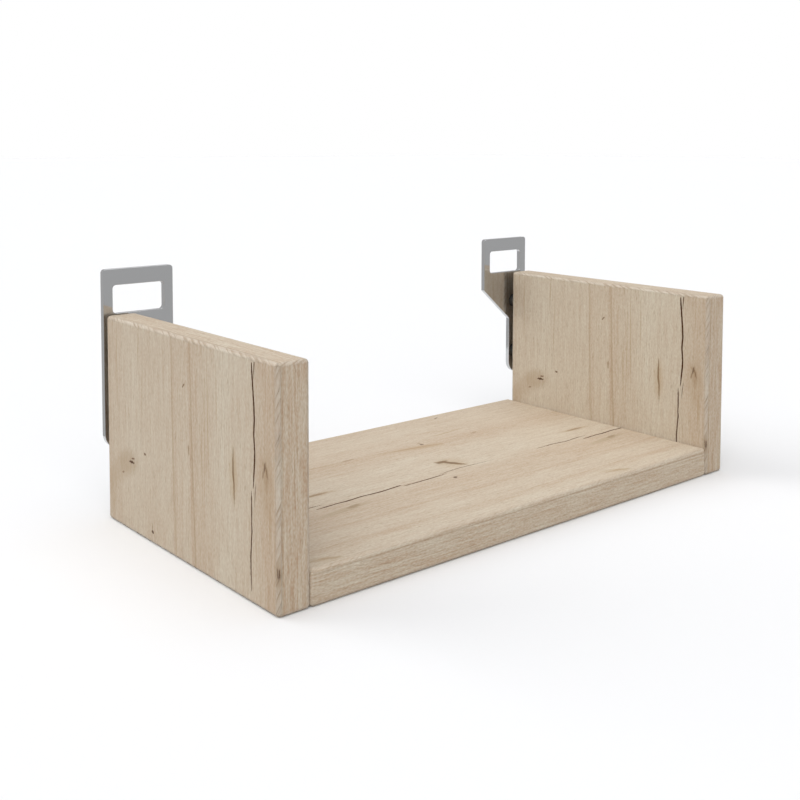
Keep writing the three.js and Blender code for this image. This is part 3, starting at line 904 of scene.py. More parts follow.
def bake(piece: bpy.types.Object) -> None:
    """Turns a piece and its modifiers into a plain mesh.

    Args:
        piece: the piece.
    """
    graph = bpy.context.evaluated_depsgraph_get()
    name = piece.data.name
    mesh = bpy.data.meshes.new_from_object(piece.evaluated_get(graph))
    piece.modifiers.clear()
    piece.data = mesh
    mesh.name = name


def adopt(piece: bpy.types.Object, nodes: Sequence[str]) -> bpy.types.Object:
    """Makes a piece ride on the shelf and stand for its CAD nodes.

    Args:
        piece: the piece.
        nodes: the CAD nodes that it stands for.

    Returns:
        The piece.
    """
    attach(piece, BODY)
    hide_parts(*nodes)
    return piece


# Boards


@dataclass(frozen=True)
class Bore:
    """A round hole, from one point to another."""

    start: Point
    end: Point
    radius: float


def drill(piece: bpy.types.Object, bores: Iterable[Bore], sides: int = 40) -> None:
    """Cuts round holes in a board, keeping the normals and patterns of what is left.

    Args:
        piece: the board.
        bores: the holes.
        sides: how many flat sides each hole has.
    """
    cutter = bpy.data.meshes.new("cutter")
    kit = bmesh.new()
    for bore in bores:
        start, end = Vector(bore.start) * MM, Vector(bore.end) * MM
        along = end - start
        turn = along.to_track_quat("Z", "Y").to_matrix().to_4x4()
        bmesh.ops.create_cone(
            kit, cap_ends=True, segments=sides, radius1=bore.radius * MM, radius2=bore.radius * MM,
            depth=along.length, matrix=Matrix.Translation((start + end) / 2) @ turn,
        )
    kit.to_mesh(cutter)
    kit.free()
    for material in piece.data.materials:
        cutter.materials.append(material)
    cutter.polygons.foreach_set("material_index", [Layer.RAW.value] * len(cutter.polygons))
    tool = put("cutter", cutter)
    modifier = piece.modifiers.new("bores", "BOOLEAN")
    modifier.object = tool
    modifier.operation = "DIFFERENCE"
    modifier.solver = "EXACT"
    bake(piece)
    bpy.data.objects.remove(tool)


@dataclass
class Skin:
    """Gathers quads from grids and welds them into one mesh."""

    corners: list[np.ndarray] = field(default_factory=list)
    normals: list[np.ndarray] = field(default_factory=list)
    uvs: list[np.ndarray] = field(default_factory=list)
    arrises: list[np.ndarray] = field(default_factory=list)
    layers: list[np.ndarray] = field(default_factory=list)

    def lay(
        self, points: np.ndarray, normals: np.ndarray, uvs: np.ndarray, layer: Layer, reverse: bool,
        keep: np.ndarray | None = None, arris: np.ndarray | None = None,
    ) -> None:
        """Adds one grid's quads.

        Args:
            points: an n by m grid of points.
            normals: the normal at each.
            uvs: the two pattern coordinates at each.
            layer: what the grid shows.
            reverse: turns each quad over.
            keep: which quads to add, all of them if None.
            arris: the two arris coordinates at each, none if the grid has no rounded edge.
        """
        order = ((0, 0), (1, 0), (1, 1), (0, 1))
        chosen = np.ones((points.shape[0] - 1, points.shape[1] - 1), bool) if keep is None else keep
        rounded = np.zeros_like(uvs) if arris is None else arris
        targets = (self.corners, self.normals, self.uvs, self.arrises)
        for target, grid in zip(targets, (points, normals, uvs, rounded)):
            n, m = grid.shape[:2]
            quads = np.stack([grid[i:n - 1 + i, j:m - 1 + j] for i, j in order], axis=2)[chosen]
            target.append(quads[:, ::-1] if reverse else quads)
        self.layers.append(np.full(int(chosen.sum()), layer.value))

    def mesh(self, name: str, materials: Iterable[Material]) -> bpy.types.Mesh:
        """Welds the quads.

        Args:
            name: the mesh's name.
            materials: the material of each layer.

        Returns:
            The mesh, in metres.
        """
        points, index = weld(np.concatenate(self.corners).reshape(-1, 3))
        mesh = bpy.data.meshes.new(name)
        mesh.from_pydata(points, [], index.reshape(-1, 4).tolist())
        for material in materials:
            mesh.materials.append(material)
        mesh.polygons.foreach_set("material_index", np.concatenate(self.layers))
        for map_name, values in ((GRAIN_UV, self.uvs), (ARRIS_UV, self.arrises)):
            uv_map = mesh.uv_layers.new(name=map_name)
            uv_map.data.foreach_set("uv", (np.concatenate(values) * MM).ravel())
        mesh.normals_split_custom_set(np.concatenate(self.normals).reshape(-1, 3).tolist())
        return mesh


@dataclass
class Panel:
    """One board: a flat core with a decor face on each side, in a ring of rounded edging."""

    name: str
    low: Point
    high: Point
    thickness: Axis
    grain: Axis
    shown: int  # the side of the thickness axis that carries the pattern the right way up
    decor: Decor
    bands: tuple[str, ...]
    bores: tuple[Bore, ...]
    radius: float = 3.0
    fillet_steps: int = 4
    coarse: float = 3.0  # spacing of the grid where nothing is carved
    fine: float = 0.35  # its spacing across the cracks
    stretch: float = 0.6  # its spacing along the grain, as a share of the coarse one
    crack_room: float = 1.0  # how far it is fine beside a crack
    support: float = 0.3  # how near the first line stands to a rounded edge
    slope_step: float = 0.05
    steepest: float = 1.2
    # It also scales the painted highlight and the painted notch shade along the arrises.
    hewn: float = 1.0  # how deep the notches along its arrises are
    notch_slope: float = 2.2
    shifts: Point = (400.0, 90.0, 31.0)  # move the pattern of each edge away from the others

    def across(self) -> Axis:
        """The axis across the grain in the decor face."""
        return next(a for a in Axis if a not in (self.thickness, self.grain))

    def build(self, materials: Sequence[Material]) -> list[bpy.types.Object]:
        """Makes the core and the edging.

        Args:
            materials: decor, edging and raw core materials.

        Returns:
            The two objects.
        """
        parts = (
            (self._core(materials), Slot.BOARD, ("core",)),
            (self._edging(materials), Slot.EDGING, self.bands),
        )
        pieces = []
        for mesh, slot, nodes in parts:
            piece = put(mesh.name, mesh)
            drill(piece, self.bores)
            pieces.append(adopt(piece, [f"{self.name}_{node}" for node in nodes]))
        return pieces

    def _core_lines(self, axis: Axis) -> np.ndarray:
        """Lays out the core's grid, close together where the cracks run.

        Args:
            axis: the axis that the lines are counted along.

        Returns:
            Their places.
        """
        base, top = self.low[axis.value], self.high[axis.value]
        if axis is self.thickness:
            return np.array([base, top])
        low, high = base + self.radius, top - self.radius
        if axis is self.grain:
            return np.linspace(low, high, round((high - low) / (self.coarse * self.stretch)) + 1)
        lines = list(np.linspace(low, high, round((high - low) / self.coarse) + 1))
        width, room = top - base, self.crack_room
        for crack in self.decor.cracks:
            centres = [centre for _, centre, _ in crack.points]
            start, end = min(centres), max(centres)
            for a, b in ((start - room, end + room), (width - end - room, width - start + room)):
                lines = [x for x in lines if not base + a < x < base + b]
                lines += list(np.linspace(base + a, base + b, round((b - a) / self.fine) + 1))
        return np.unique(np.round(lines, 3))

    def _edge_lines(self, axis: Axis) -> np.ndarray:
        """Lays out the edging's grid, close together in the rounded edges.

        Args:
            axis: the axis that the lines are counted along.

        Returns:
            Their places.
        """
        low, high = self.low[axis.value] + self.radius, self.high[axis.value] - self.radius
        angles = np.linspace(0, math.pi / 4, self.fillet_steps + 1)
        rounding = self.radius * np.tan(angles)
        count = round((high - low) / self.coarse) + 1
        between = np.linspace(low + self.support, high - self.support, count)
        return np.concatenate([low - rounding[::-1], between, high + rounding])

    def _pattern(self, points: np.ndarray, side: int) -> np.ndarray:
        """Decor coordinates of points on a decor face. The face that isn't shown has it turned round.

        Args:
            points: points on the face.
            side: which side of the thickness axis.

        Returns:
            (across, along) at each point.
        """
        across, along = self.across().value, self.grain.value
        place = np.stack([points[..., across] - self.low[across], points[..., along] - self.low[along]], -1)
        if side == self.shown:
            return place
        size = np.array([self.high[a] - self.low[a] for a in (across, along)])
        return size - place

    def _face(self, axis: Axis, value: float, lines: dict[Axis, np.ndarray]) -> np.ndarray:
        """A grid of points on a plane across an axis.

        Args:
            axis: the axis that it stands across.
            value: its place along that axis.
            lines: the grid lines along every axis.

        Returns:
            The points.
        """
        i, j = Axis((axis.value + 1) % 3), Axis((axis.value + 2) % 3)
        a, b = np.meshgrid(lines[i], lines[j], indexing="ij")
        grid = np.empty((*a.shape, 3))
        grid[..., axis.value], grid[..., i.value], grid[..., j.value] = value, a, b
        return grid

    def _core(self, materials: Sequence[Material]) -> bpy.types.Mesh:
        """Makes the core, with its cracks pressed into both decor faces.

        Args:
            materials: decor, edging and raw core materials.

        Returns:
            The core's mesh.
        """
        skin = Skin()
        lines = {axis: self._core_lines(axis) for axis in Axis}
        for axis in Axis:
            ends = lines[axis][[0, -1]]
            for sign, value in zip((-1, 1), ends):
                grid = self._face(axis, value, lines)
                normals = np.zeros_like(grid)
                normals[..., axis.value] = sign
                if axis is self.thickness:
                    place = self._pattern(grid, sign)
                    grid, normals = self._press(grid, normals, place, sign)
                    skin.lay(grid, normals, place, Layer.DECOR, sign < 0)
                else:
                    skin.lay(grid, normals, grid[..., :2], Layer.RAW, sign < 0)
        return skin.mesh(f"{self.name}_panel", materials)

    def _press(
        self, grid: np.ndarray, normals: np.ndarray, place: np.ndarray, sign: int
    ) -> tuple[np.ndarray, np.ndarray]:
        """Sinks the cracks into a decor face and leans its normals to match.

        Args:
            grid: the face's points.
            normals: its flat normals.
            place: its decor coordinates.
            sign: which side of the thickness axis.

        Returns:
            The new points and normals.
        """
        across, axis = self.across().value, self.thickness.value
        depth = self.decor.carve(place[..., 0], place[..., 1])
        depth[[0, -1], :] = 0
        depth[:, [0, -1]] = 0
        grid = grid.copy()
        grid[..., axis] -= sign * depth
        facing = 1 if sign == self.shown else -1
        ahead = self.decor.carve(place[..., 0] + self.slope_step, place[..., 1])
        behind = self.decor.carve(place[..., 0] - self.slope_step, place[..., 1])
        slope = (ahead - behind) / (2 * self.slope_step)
        leaning = normals.copy()
        leaning[..., across] = facing * np.clip(slope, -self.steepest, self.steepest)
        return grid, leaning / np.linalg.norm(leaning, axis=-1, keepdims=True)

    def _edging(self, materials: Sequence[Material]) -> bpy.types.Mesh:
        """Makes the ring round the core, with every outer edge rounded.

        Args:
            materials: decor, edging and raw core materials.

        Returns:
            The ring's mesh.
        """
        skin = Skin()
        lines = {axis: self._edge_lines(axis) for axis in Axis}
        inner_low = np.array(self.low) + self.radius
        inner_high = np.array(self.high) - self.radius
        for axis in Axis:
            for sign, value in ((-1, self.low[axis.value]), (1, self.high[axis.value])):
                flat = self._face(axis, value, lines)
                away = flat - np.clip(flat, inner_low, inner_high)
                normals = away / np.linalg.norm(away, axis=-1, keepdims=True)
                points = flat - away + self.radius * normals
                arris = self._arris(flat, normals)
                if axis is self.thickness:
                    middle = (flat[1:, 1:] + flat[:-1, :-1]) / 2
                    i, j = (
                        (middle[..., k] > inner_low[k]) & (middle[..., k] < inner_high[k])
                        for k in range(3) if k != axis.value
                    )
                    skin.lay(
                        points, normals, self._pattern(flat, sign), Layer.DECOR, sign < 0, ~(i & j), arris
                    )
                else:
                    pattern = self._band_pattern(flat, axis, sign)
                    skin.lay(points, normals, pattern, Layer.EDGING, sign < 0, arris=arris)
        walls = dict(lines)
        walls[self.thickness] = np.array([self.low[self.thickness.value], self.high[self.thickness.value]])
        for axis in (a for a in Axis if a is not self.thickness):
            other = next(a for a in Axis if a not in (axis, self.thickness))
            walls[other] = lines[other][self.fillet_steps:-self.fillet_steps]
            for sign, value in ((-1, inner_low[axis.value]), (1, inner_high[axis.value])):
                grid = self._face(axis, value, walls)
                normals = np.zeros_like(grid)
                normals[..., axis.value] = -sign
                skin.lay(grid, normals, grid[..., :2], Layer.RAW, sign > 0)
        return skin.mesh(f"{self.name}_edging", materials)

    def _arris(self, points: np.ndarray, normals: np.ndarray) -> np.ndarray:
        """Coordinates that carry one pattern round the edges, over both faces that meet there.

        Args:
            points: points on the panel's box.
            normals: the rounded normals there.

        Returns:
            A place along the arris that slants as it goes round it, and 1 on the arris falling to 0 where
            the faces are flat.
        """
        size = np.abs(normals)
        along = size.argmin(axis=-1)
        first, second = np.where(along == 0, 1, 0), np.where(along == 2, 1, 2)
        a, b = (np.take_along_axis(size, k[..., None], -1)[..., 0] for k in (first, second))
        place = np.take_along_axis(points, along[..., None], -1)[..., 0]
        slanted = place - self.notch_slope * self.radius * np.arctan2(b, a)
        return np.stack([slanted, self.hewn * 2 * a * b], -1)

    def _band_pattern(self, points: np.ndarray, axis: Axis, sign: int) -> np.ndarray:
        """Pattern coordinates on an edge face.

        Args:
            points: points on the face.
            axis: the axis that it stands across.
            sign: which side of that axis.

        Returns:
            (across, along) at each point: across the thickness, and along the edge.
        """
        along = next(a for a in Axis if a not in (axis, self.thickness)).value
        through = self.thickness.value
        across = points[..., through] - self.low[through]
        # Each kind of edge reads its own band of tones; the paler bands of the level edges and the board's
        # edges are painted light.
        kind = int(axis is Axis.Z)
        if self.thickness is Axis.Z:
            across, kind = self.high[through] - points[..., through], 2
        front = (axis, sign) == (Axis.Y, -1) and self.thickness is Axis.X
        first, per_axis, per_side = self.shifts
        shift = 0.0 if front else first + per_axis * axis.value + per_side * sign
        return np.stack([across + kind * self.decor.zone, points[..., along] - self.low[along] + shift], -1)


@dataclass
class Carcass:
    """The two sides and the board between them, with the holes for their fittings."""

    width: float = 480.0
    side_thickness: float = 25.0
    side_height: float = 161.0
    board_thickness: float = 25.0
    front: float = -124.75
    side_back: float = 115.25
    board_back: float = 120.25
    board_hewn: float = 0.3
    cam_rows: tuple[float, float] = (-84.75, 80.25)
    cam_inset: float = 34.0
    cam_radius: float = 7.5
    cam_depth: float = 17.0
    bolt_radius_in_side: float = 2.9
    bolt_radius_in_board: float = 4.0
    bolt_depth_in_side: float = 11.5
    dowel_rows: tuple[float, float] = (-52.75, 48.25)
    dowel_radius: float = 4.2
    dowel_depth_in_side: float = 12.5
    dowel_depth_in_board: float = 23.5
    screw_heights: tuple[float, float] = (75.0, 129.0)
    insert_radius: float = 5.2
    insert_depth: float = 16.0
    margin: float = 1.0  # how far a cutter stands out of the board

    def _joint(self, hand: Hand) -> float:
        """Where a side meets the board."""
        return hand.value * (self.width / 2 - self.side_thickness)

    def _side_bores(self, hand: Hand) -> tuple[Bore, ...]:
        """Places the holes in one side.

        Args:
            hand: which side.

        Returns:
            The holes.
        """
        face, out, height = self._joint(hand), hand.value, self.board_thickness / 2
        inner = face - out * self.margin
        joints = (
            (self.cam_rows, self.bolt_depth_in_side, self.bolt_radius_in_side),
            (self.dowel_rows, self.dowel_depth_in_side, self.dowel_radius),
        )
        level = [
            Bore((inner, y, height), (face + out * depth, y, height), radius)
            for rows, depth, radius in joints for y in rows
        ]
        middle = hand.value * (self.width / 2 - self.side_thickness / 2)
        start, end = self.side_back + self.margin, self.side_back - self.insert_depth
        inserts = [Bore((middle, start, z), (middle, end, z), self.insert_radius) for z in self.screw_heights]
        return (*level, *inserts)

    def _board_bores(self) -> tuple[Bore, ...]:
        """Places the holes in the board.

        Returns:
            The holes.
        """
        height = self.board_thickness / 2
        bores = []
        for hand in Hand:
            face, inwards = self._joint(hand), -hand.value
            outer = face - inwards * self.margin
            cam = face + inwards * self.cam_inset
            for y in self.cam_rows:
                bores.append(Bore((outer, y, height), (cam, y, height), self.bolt_radius_in_board))
                bores.append(Bore((cam, y, -self.margin), (cam, y, self.cam_depth), self.cam_radius))
            for y in self.dowel_rows:
                end = face + inwards * self.dowel_depth_in_board
                bores.append(Bore((outer, y, height), (end, y, height), self.dowel_radius))
        return tuple(bores)

    def build(self) -> list[bpy.types.Object]:
        """Makes the three boards.

        Returns:
            Their objects.
        """
        edging, raw = OAK.material(EDGING_DECOR), CHIPBOARD.material()
        pieces = []
        # The right side takes the paler print, which is painted light on its inner face.
        for hand, decor in ((Hand.LEFT, SIDE_DECOR), (Hand.RIGHT, RIGHT_SIDE_PAINTED_LIGHT_DECOR)):
            low, high = sorted((self._joint(hand), hand.value * self.width / 2))
            side = Panel(
                name=f"{hand.name.lower()}_side", low=(low, self.front, 0.0),
                high=(high, self.side_back, self.side_height), thickness=Axis.X, grain=Axis.Z, shown=-1,
                decor=decor, bands=("front_band", "back_band", "bottom_band", "top_band"),
                bores=self._side_bores(hand),
            )
            pieces += side.build((OAK.material(decor), edging, raw))
        board = Panel(
            name="shelf_board", low=(self._joint(Hand.LEFT), self.front, 0.0),
            high=(self._joint(Hand.RIGHT), self.board_back, self.board_thickness), thickness=Axis.Z,
            grain=Axis.X, shown=1, decor=BOARD_DECOR,
            bands=("front_band", "back_band", "left_end_band", "right_end_band"),
            bores=self._board_bores(), hewn=self.board_hewn,
        )
        return pieces + board.build((OAK.material(BOARD_DECOR), edging, raw))


# Hanger plates


@dataclass
class HangerPlate:
    """One flat steel plate: a head with a window, a slanting shoulder and a leg with a round foot."""

    hand: Hand
    half_width: float = 240.0
    front: float = 120.25
    thickness: float = 4.5
    foot: float = 53.0
    top: float = 196.5
    head_width: float = 61.0
    shoulder: tuple[float, float] = (143.5, 111.5)  # heights of its two corners
    leg_width: float = 24.0
    window: tuple[float, float, float] = (8.25, 161.0, 183.5)  # rim at its side, bottom and top
    corner: float = 3.0
    shoulder_corner: float = 1.2
    foot_gap: float = 0.01  # keeps the foot's two corners apart
    screw_inset: float = 12.5
    screw_heights: tuple[float, float] = (75.0, 129.0)
    hole_radius: float = 3.2
    sink_radius: float = 6.2
    land: float = 0.4  # straight part behind the countersink
    edge: float = 0.4
    edge_steps: int = 4
    corner_steps: int = 10
    hole_steps: int = 48

    def _x(self, inwards: float) -> float:
        """A place along X from its distance to the side's outer face."""
        return self.hand.value * (self.half_width - inwards)

    def _loop(self, corners: list[Point], hole: bool) -> tuple[np.ndarray, np.ndarray]:
        """Walks round an outline with rounded corners.

        Args:
            corners: (x, z, radius) in order round it.
            hole: True if the metal is outside it.

        Returns:
            Its points, and the normal at each that points out of the metal, counterclockwise.
        """
        points, normals = [], []
        area = sum(a[0] * b[1] - b[0] * a[1] for a, b in zip(corners, corners[1:] + corners[:1]))
        ordered = corners if area > 0 else corners[::-1]
        for i, (x, z, radius) in enumerate(ordered):
            here = Vector((x, z))
            back = (Vector(ordered[i - 1][:2]) - here).normalized()
            on = (Vector(ordered[(i + 1) % len(ordered)][:2]) - here).normalized()
            half = math.acos(max(-1.0, min(1.0, back.dot(on)))) / 2
            middle = here + (back + on).normalized() * (radius / math.sin(half))
            side = 1 if back.x * on.y - back.y * on.x < 0 else -1
            start = here + back * (radius / math.tan(half)) - middle
            turn = (math.pi - 2 * half) * side
            for step in range(self.corner_steps + 1):
                spoke = Matrix.Rotation(turn * step / self.corner_steps, 2) @ start
                points.append(middle + spoke)
                normals.append(spoke.normalized() * side * (-1 if hole else 1))
        return np.array(points), np.array(normals)

    def _edge_profile(self) -> list[Point]:
        """(inset, depth, lean) of each loop from the front face to the back face.

        Returns:
            The lean is the angle of the normal, -90 degrees at the front face and 90 at the back.
        """
        angles = [math.pi / 2 * step / self.edge_steps for step in range(self.edge_steps + 1)]
        front = [
            (self.edge * (1 - math.sin(a)), self.edge * (1 - math.cos(a)), a - math.pi / 2) for a in angles
        ]
        back = [(inset, self.thickness - depth, -lean) for inset, depth, lean in reversed(front)]
        return front + back

    def build(self, steel: Material) -> bpy.types.Object:
        """Makes the plate.

        Args:
            steel: its material.

        Returns:
            The object.
        """
        outer, head, leg = self._x(0), self._x(self.head_width), self._x(self.leg_width)
        round_foot = self.leg_width / 2 - self.foot_gap
        outline = self._loop([
            (outer, self.foot, round_foot), (outer, self.top, self.corner), (head, self.top, self.corner),
            (head, self.shoulder[0], self.shoulder_corner), (leg, self.shoulder[1], self.shoulder_corner),
            (leg, self.foot, round_foot),
        ], False)
        rim, low, high = self.window
        near, far = self._x(rim), self._x(self.head_width - rim)
        corners = ((near, high), (near, low), (far, low), (far, high))
        window = self._loop([(x, z, self.corner) for x, z in corners], True)
        loops = [self._strip(*outline, True), self._strip(*window, False)]
        loops += [self._hole(height) for height in self.screw_heights]

        faces, normals = [], []
        for points, leans, outward in loops:
            for k in range(len(points) - 1):
                count = len(points[k])
                for i in range(count):
                    j = (i + 1) % count
                    quad = [(k, i), (k, j), (k + 1, j), (k + 1, i)]
                    quad = quad[::-1] if outward else quad
                    faces.append([points[a][b] for a, b in quad])
                    normals.append([leans[a][b] for a, b in quad])
        for end, facing in ((0, -1.0), (-1, 1.0)):
            rings = [points[end] for points, _, _ in loops]
            flat = np.array([p for ring in rings for p in ring])
            for triangle in tessellate_polygon([[Vector(p) for p in ring] for ring in rings]):
                face = flat[list(triangle)]
                turned = np.cross(face[1] - face[0], face[2] - face[0])[Axis.Y.value] * facing < 0
                faces.append(face[::-1] if turned else face)
                normals.append([(0.0, facing, 0.0)] * 3)
        return self._object(faces, normals, steel)

    def _strip(self, flat: np.ndarray, outward: np.ndarray, outer: bool) -> tuple[list, list, bool]:
        """The rounded edge along an outline.

        Args:
            flat: the outline's points.
            outward: the normal at each.
            outer: True for the plate's own outline and False for its window.

        Returns:
            Points and normals of each loop through the thickness, and outer.
        """
        points, normals = [], []
        for inset, depth, lean in self._edge_profile():
            level = math.cos(lean)
            points.append([(x, self.front + depth, z) for x, z in flat - outward * inset])
            normals.append([(x * level, math.sin(lean), z * level) for x, z in outward])
        return points, normals, outer

    def _hole(self, height: float) -> tuple[list, list, bool]:
        """A countersunk screw hole, given as a strip is.

        Args:
            height: the height of its middle.

        Returns:
            Points and normals of each loop from the front face to the back face, and False.
        """
        through, sink, back = self.hole_radius, self.sink_radius, self.thickness
        cone = back - self.land - (sink - through)
        slope = math.sin(math.pi / 4)
        profile = [
            (through, 0.0, 0.0), (through, cone, 0.0), (through, cone, slope),
            (sink, back - self.land, slope), (sink, back - self.land, 0.0), (sink, back, 0.0),
        ]
        angles = np.linspace(0, 2 * math.pi, self.hole_steps, endpoint=False)
        around = np.stack([np.cos(angles), np.sin(angles)], -1)
        centre = self._x(self.screw_inset)
        points, normals = [], []
        for radius, depth, lean in profile:
            level = math.sqrt(1 - lean * lean)
            points.append([(centre + x * radius, self.front + depth, height + z * radius) for x, z in around])
            normals.append([(-x * level, lean, -z * level) for x, z in around])
        return points, normals, False

    def _object(self, corners: list, normals: list, steel: Material) -> bpy.types.Object:
        """Welds the faces into the plate's object, without those that have shrunk to nothing.

        Args:
            corners: the corners of each face.
            normals: the normals at them.
            steel: the plate's material.

        Returns:
            The object.
        """
        points, index = weld(np.array([p for face in corners for p in face]))
        faces, kept, start = [], [], 0
        for face, leans in zip(corners, normals):
            ids = index[start:start + len(face)].tolist()
            start += len(face)
            if len(set(ids)) == len(ids):
                faces.append(ids)
                kept += leans
        name = f"{self.hand.name.lower()}_plate_polished"
        mesh = bpy.data.meshes.new(name)
        mesh.from_pydata(points, [], faces)
        mesh.materials.append(steel)
        mesh.normals_split_custom_set(kept)
        return adopt(put(name, mesh), [f"{self.hand.name.lower()}_hanger_plate"])


# Small fittings, four by four, made with Geometry Nodes


@dataclass(frozen=True)
class CentreHole:
    """A hole or a driving socket in the middle of a fitting."""

    sides: int
    radius: float
    bottom: float
    top: float


@dataclass
class FittingGrid:
    """Four equal turned fittings at the corners of a rectangle.

    The profile is turned round the fitting's own Z axis, and the tree sets one on each corner.
    """

    name: str
    slot: Slot
    nodes: tuple[str, ...]
    profile: tuple[tuple[float, float], ...]  # (radius, height) in order along the axis
    spacing: tuple[float, float]
    centre: Point
    upright: bool = False  # True if the rectangle stands and the axis points backwards
    hole: CentreHole | None = None
    sides: int = 48
    sharp: float = 32.0  # degrees from which an edge is drawn sharp

    def _inputs(self, finish: Material) -> dict[str, tuple[str, object]]:
        """The tree's named inputs.

        Args:
            finish: the fittings' material.

        Returns:
            The kind and the value of each.
        """
        inputs = {
            "Spacing X": ("Float", self.spacing[0] * MM),
            "Spacing Y": ("Float", self.spacing[1] * MM),
            "Centre": ("Vector", tuple(c * MM for c in self.centre)),
            "Turn": ("Rotation", Euler((-math.pi / 2 if self.upright else 0.0, 0.0, 0.0))),
            "Sides": ("Int", self.sides),
            "Hole radius": ("Float", self.hole.radius * MM if self.hole else 0.0),
            "Finish": ("Material", finish),
        }
        for i, (radius, height) in enumerate(self.profile):
            inputs[f"Radius {i}"] = ("Float", radius * MM)
            inputs[f"Height {i}"] = ("Float", height * MM)
        return inputs

    def _tree(self, inputs: dict[str, tuple[str, object]]) -> bpy.types.GeometryNodeTree:
        """Builds the Geometry Nodes tree.

        Args:
            inputs: the kind and the value of each named input.

        Returns:
            The tree.
        """
        tree = bpy.data.node_groups.new(f"{self.name}_grid", "GeometryNodeTree")
        for name, (kind, _) in inputs.items():
            tree.interface.new_socket(name, in_out="INPUT", socket_type=f"NodeSocket{kind}")
        tree.interface.new_socket("Fittings", in_out="OUTPUT", socket_type="NodeSocketGeometry")
        given = add(tree, "NodeGroupInput").node.outputs

        places = range(len(self.profile))
        line = add(tree, "GeometryNodeMeshLine", {"Count": len(places), "Offset": (0, 0, MM)})
        index = add(tree, "GeometryNodeInputIndex")
        radius, height = (
            self._choice(tree, index, [given[f"{size} {i}"] for i in places]) for size in ("Radius", "Height")
        )
        place = add(tree, "ShaderNodeCombineXYZ", {"Z": height})
        moved = add(tree, "GeometryNodeSetPosition", {"Geometry": line, "Position": place})
        curve = add(tree, "GeometryNodeMeshToCurve", {"Mesh": moved})
        circle = add(tree, "GeometryNodeCurvePrimitiveCircle", {"Resolution": given["Sides"], "Radius": 1.0})
        turned = add(
            tree, "GeometryNodeCurveToMesh",
            {"Curve": curve, "Profile Curve": circle, "Scale": radius, "Fill Caps": True},
        )
        if self.hole:
            turned = self._drilled(tree, turned, given["Hole radius"])
        grid = add(
            tree, "GeometryNodeMeshGrid",
            {"Size X": given["Spacing X"], "Size Y": given["Spacing Y"], "Vertices X": 2, "Vertices Y": 2},
        )
        copies = add(tree, "GeometryNodeInstanceOnPoints", {"Points": grid, "Instance": turned})
        placed = add(
            tree, "GeometryNodeTransform",
            {"Geometry": copies, "Translation": given["Centre"], "Rotation": given["Turn"]},
        )
        real = add(tree, "GeometryNodeRealizeInstances", {"Geometry": placed})
        dressed = add(tree, "GeometryNodeSetMaterial", {"Geometry": real, "Material": given["Finish"]})
        add(tree, "NodeGroupOutput", {"Fittings": dressed})
        return tree

    def _choice(self, tree: Tree, index: Socket, values: list[Socket]) -> Socket:
        """Picks one value for each point of the profile.

        Args:
            tree: the node tree.
            index: the point's index.
            values: the value of each point in order.

        Returns:
            The point's value.
        """
        chosen = values[-1]
        for i in range(len(values) - 2, -1, -1):
            later = add(tree, MATHS, (index, i + 0.5), operation="GREATER_THAN")
            chosen = add(
                tree, MIX, {"Factor_Float": later, "A_Float": values[i], "B_Float": chosen},
                data_type="FLOAT",
            )
        return chosen

    def _drilled(self, tree: Tree, solid: Socket, radius: Socket) -> Socket:
        """Cuts the fitting's hole along its axis.

        Args:
            tree: the node tree.
            solid: the turned fitting.
            radius: the hole's radius.

        Returns:
            The drilled fitting.
        """
        depth, middle = self.hole.top - self.hole.bottom, (self.hole.top + self.hole.bottom) / 2
        cutter = add(
            tree, "GeometryNodeMeshCylinder",
            {"Vertices": self.hole.sides, "Radius": radius, "Depth": depth * MM},
        )
        moved = add(tree, "GeometryNodeTransform", {"Geometry": cutter, "Translation": (0, 0, middle * MM)})
        return add(
            tree, "GeometryNodeMeshBoolean", {"Mesh 1": solid, "Mesh 2": moved},
            operation="DIFFERENCE", solver="EXACT",
        )

    def build(self, finish: Material) -> bpy.types.Object:
        """Runs the tree and keeps its result as a plain mesh.

        Args:
            finish: the fittings' material.

        Returns:
            The object.
        """
        inputs = self._inputs(finish)
        piece = put(self.name, bpy.data.meshes.new(self.name))
        modifier = piece.modifiers.new("fittings", "NODES")
        modifier.node_group = self._tree(inputs)
        for item in modifier.node_group.interface.items_tree:
            if item.in_out == "INPUT":
                modifier[item.identifier] = inputs[item.name][1]
        bake(piece)
        piece.data.materials.clear()
        piece.data.materials.append(finish)
        piece.data.polygons.foreach_set("material_index", [0] * len(piece.data.polygons))
        piece.data.set_sharp_from_angle(angle=math.radians(self.sharp))
        return adopt(piece, self.nodes)


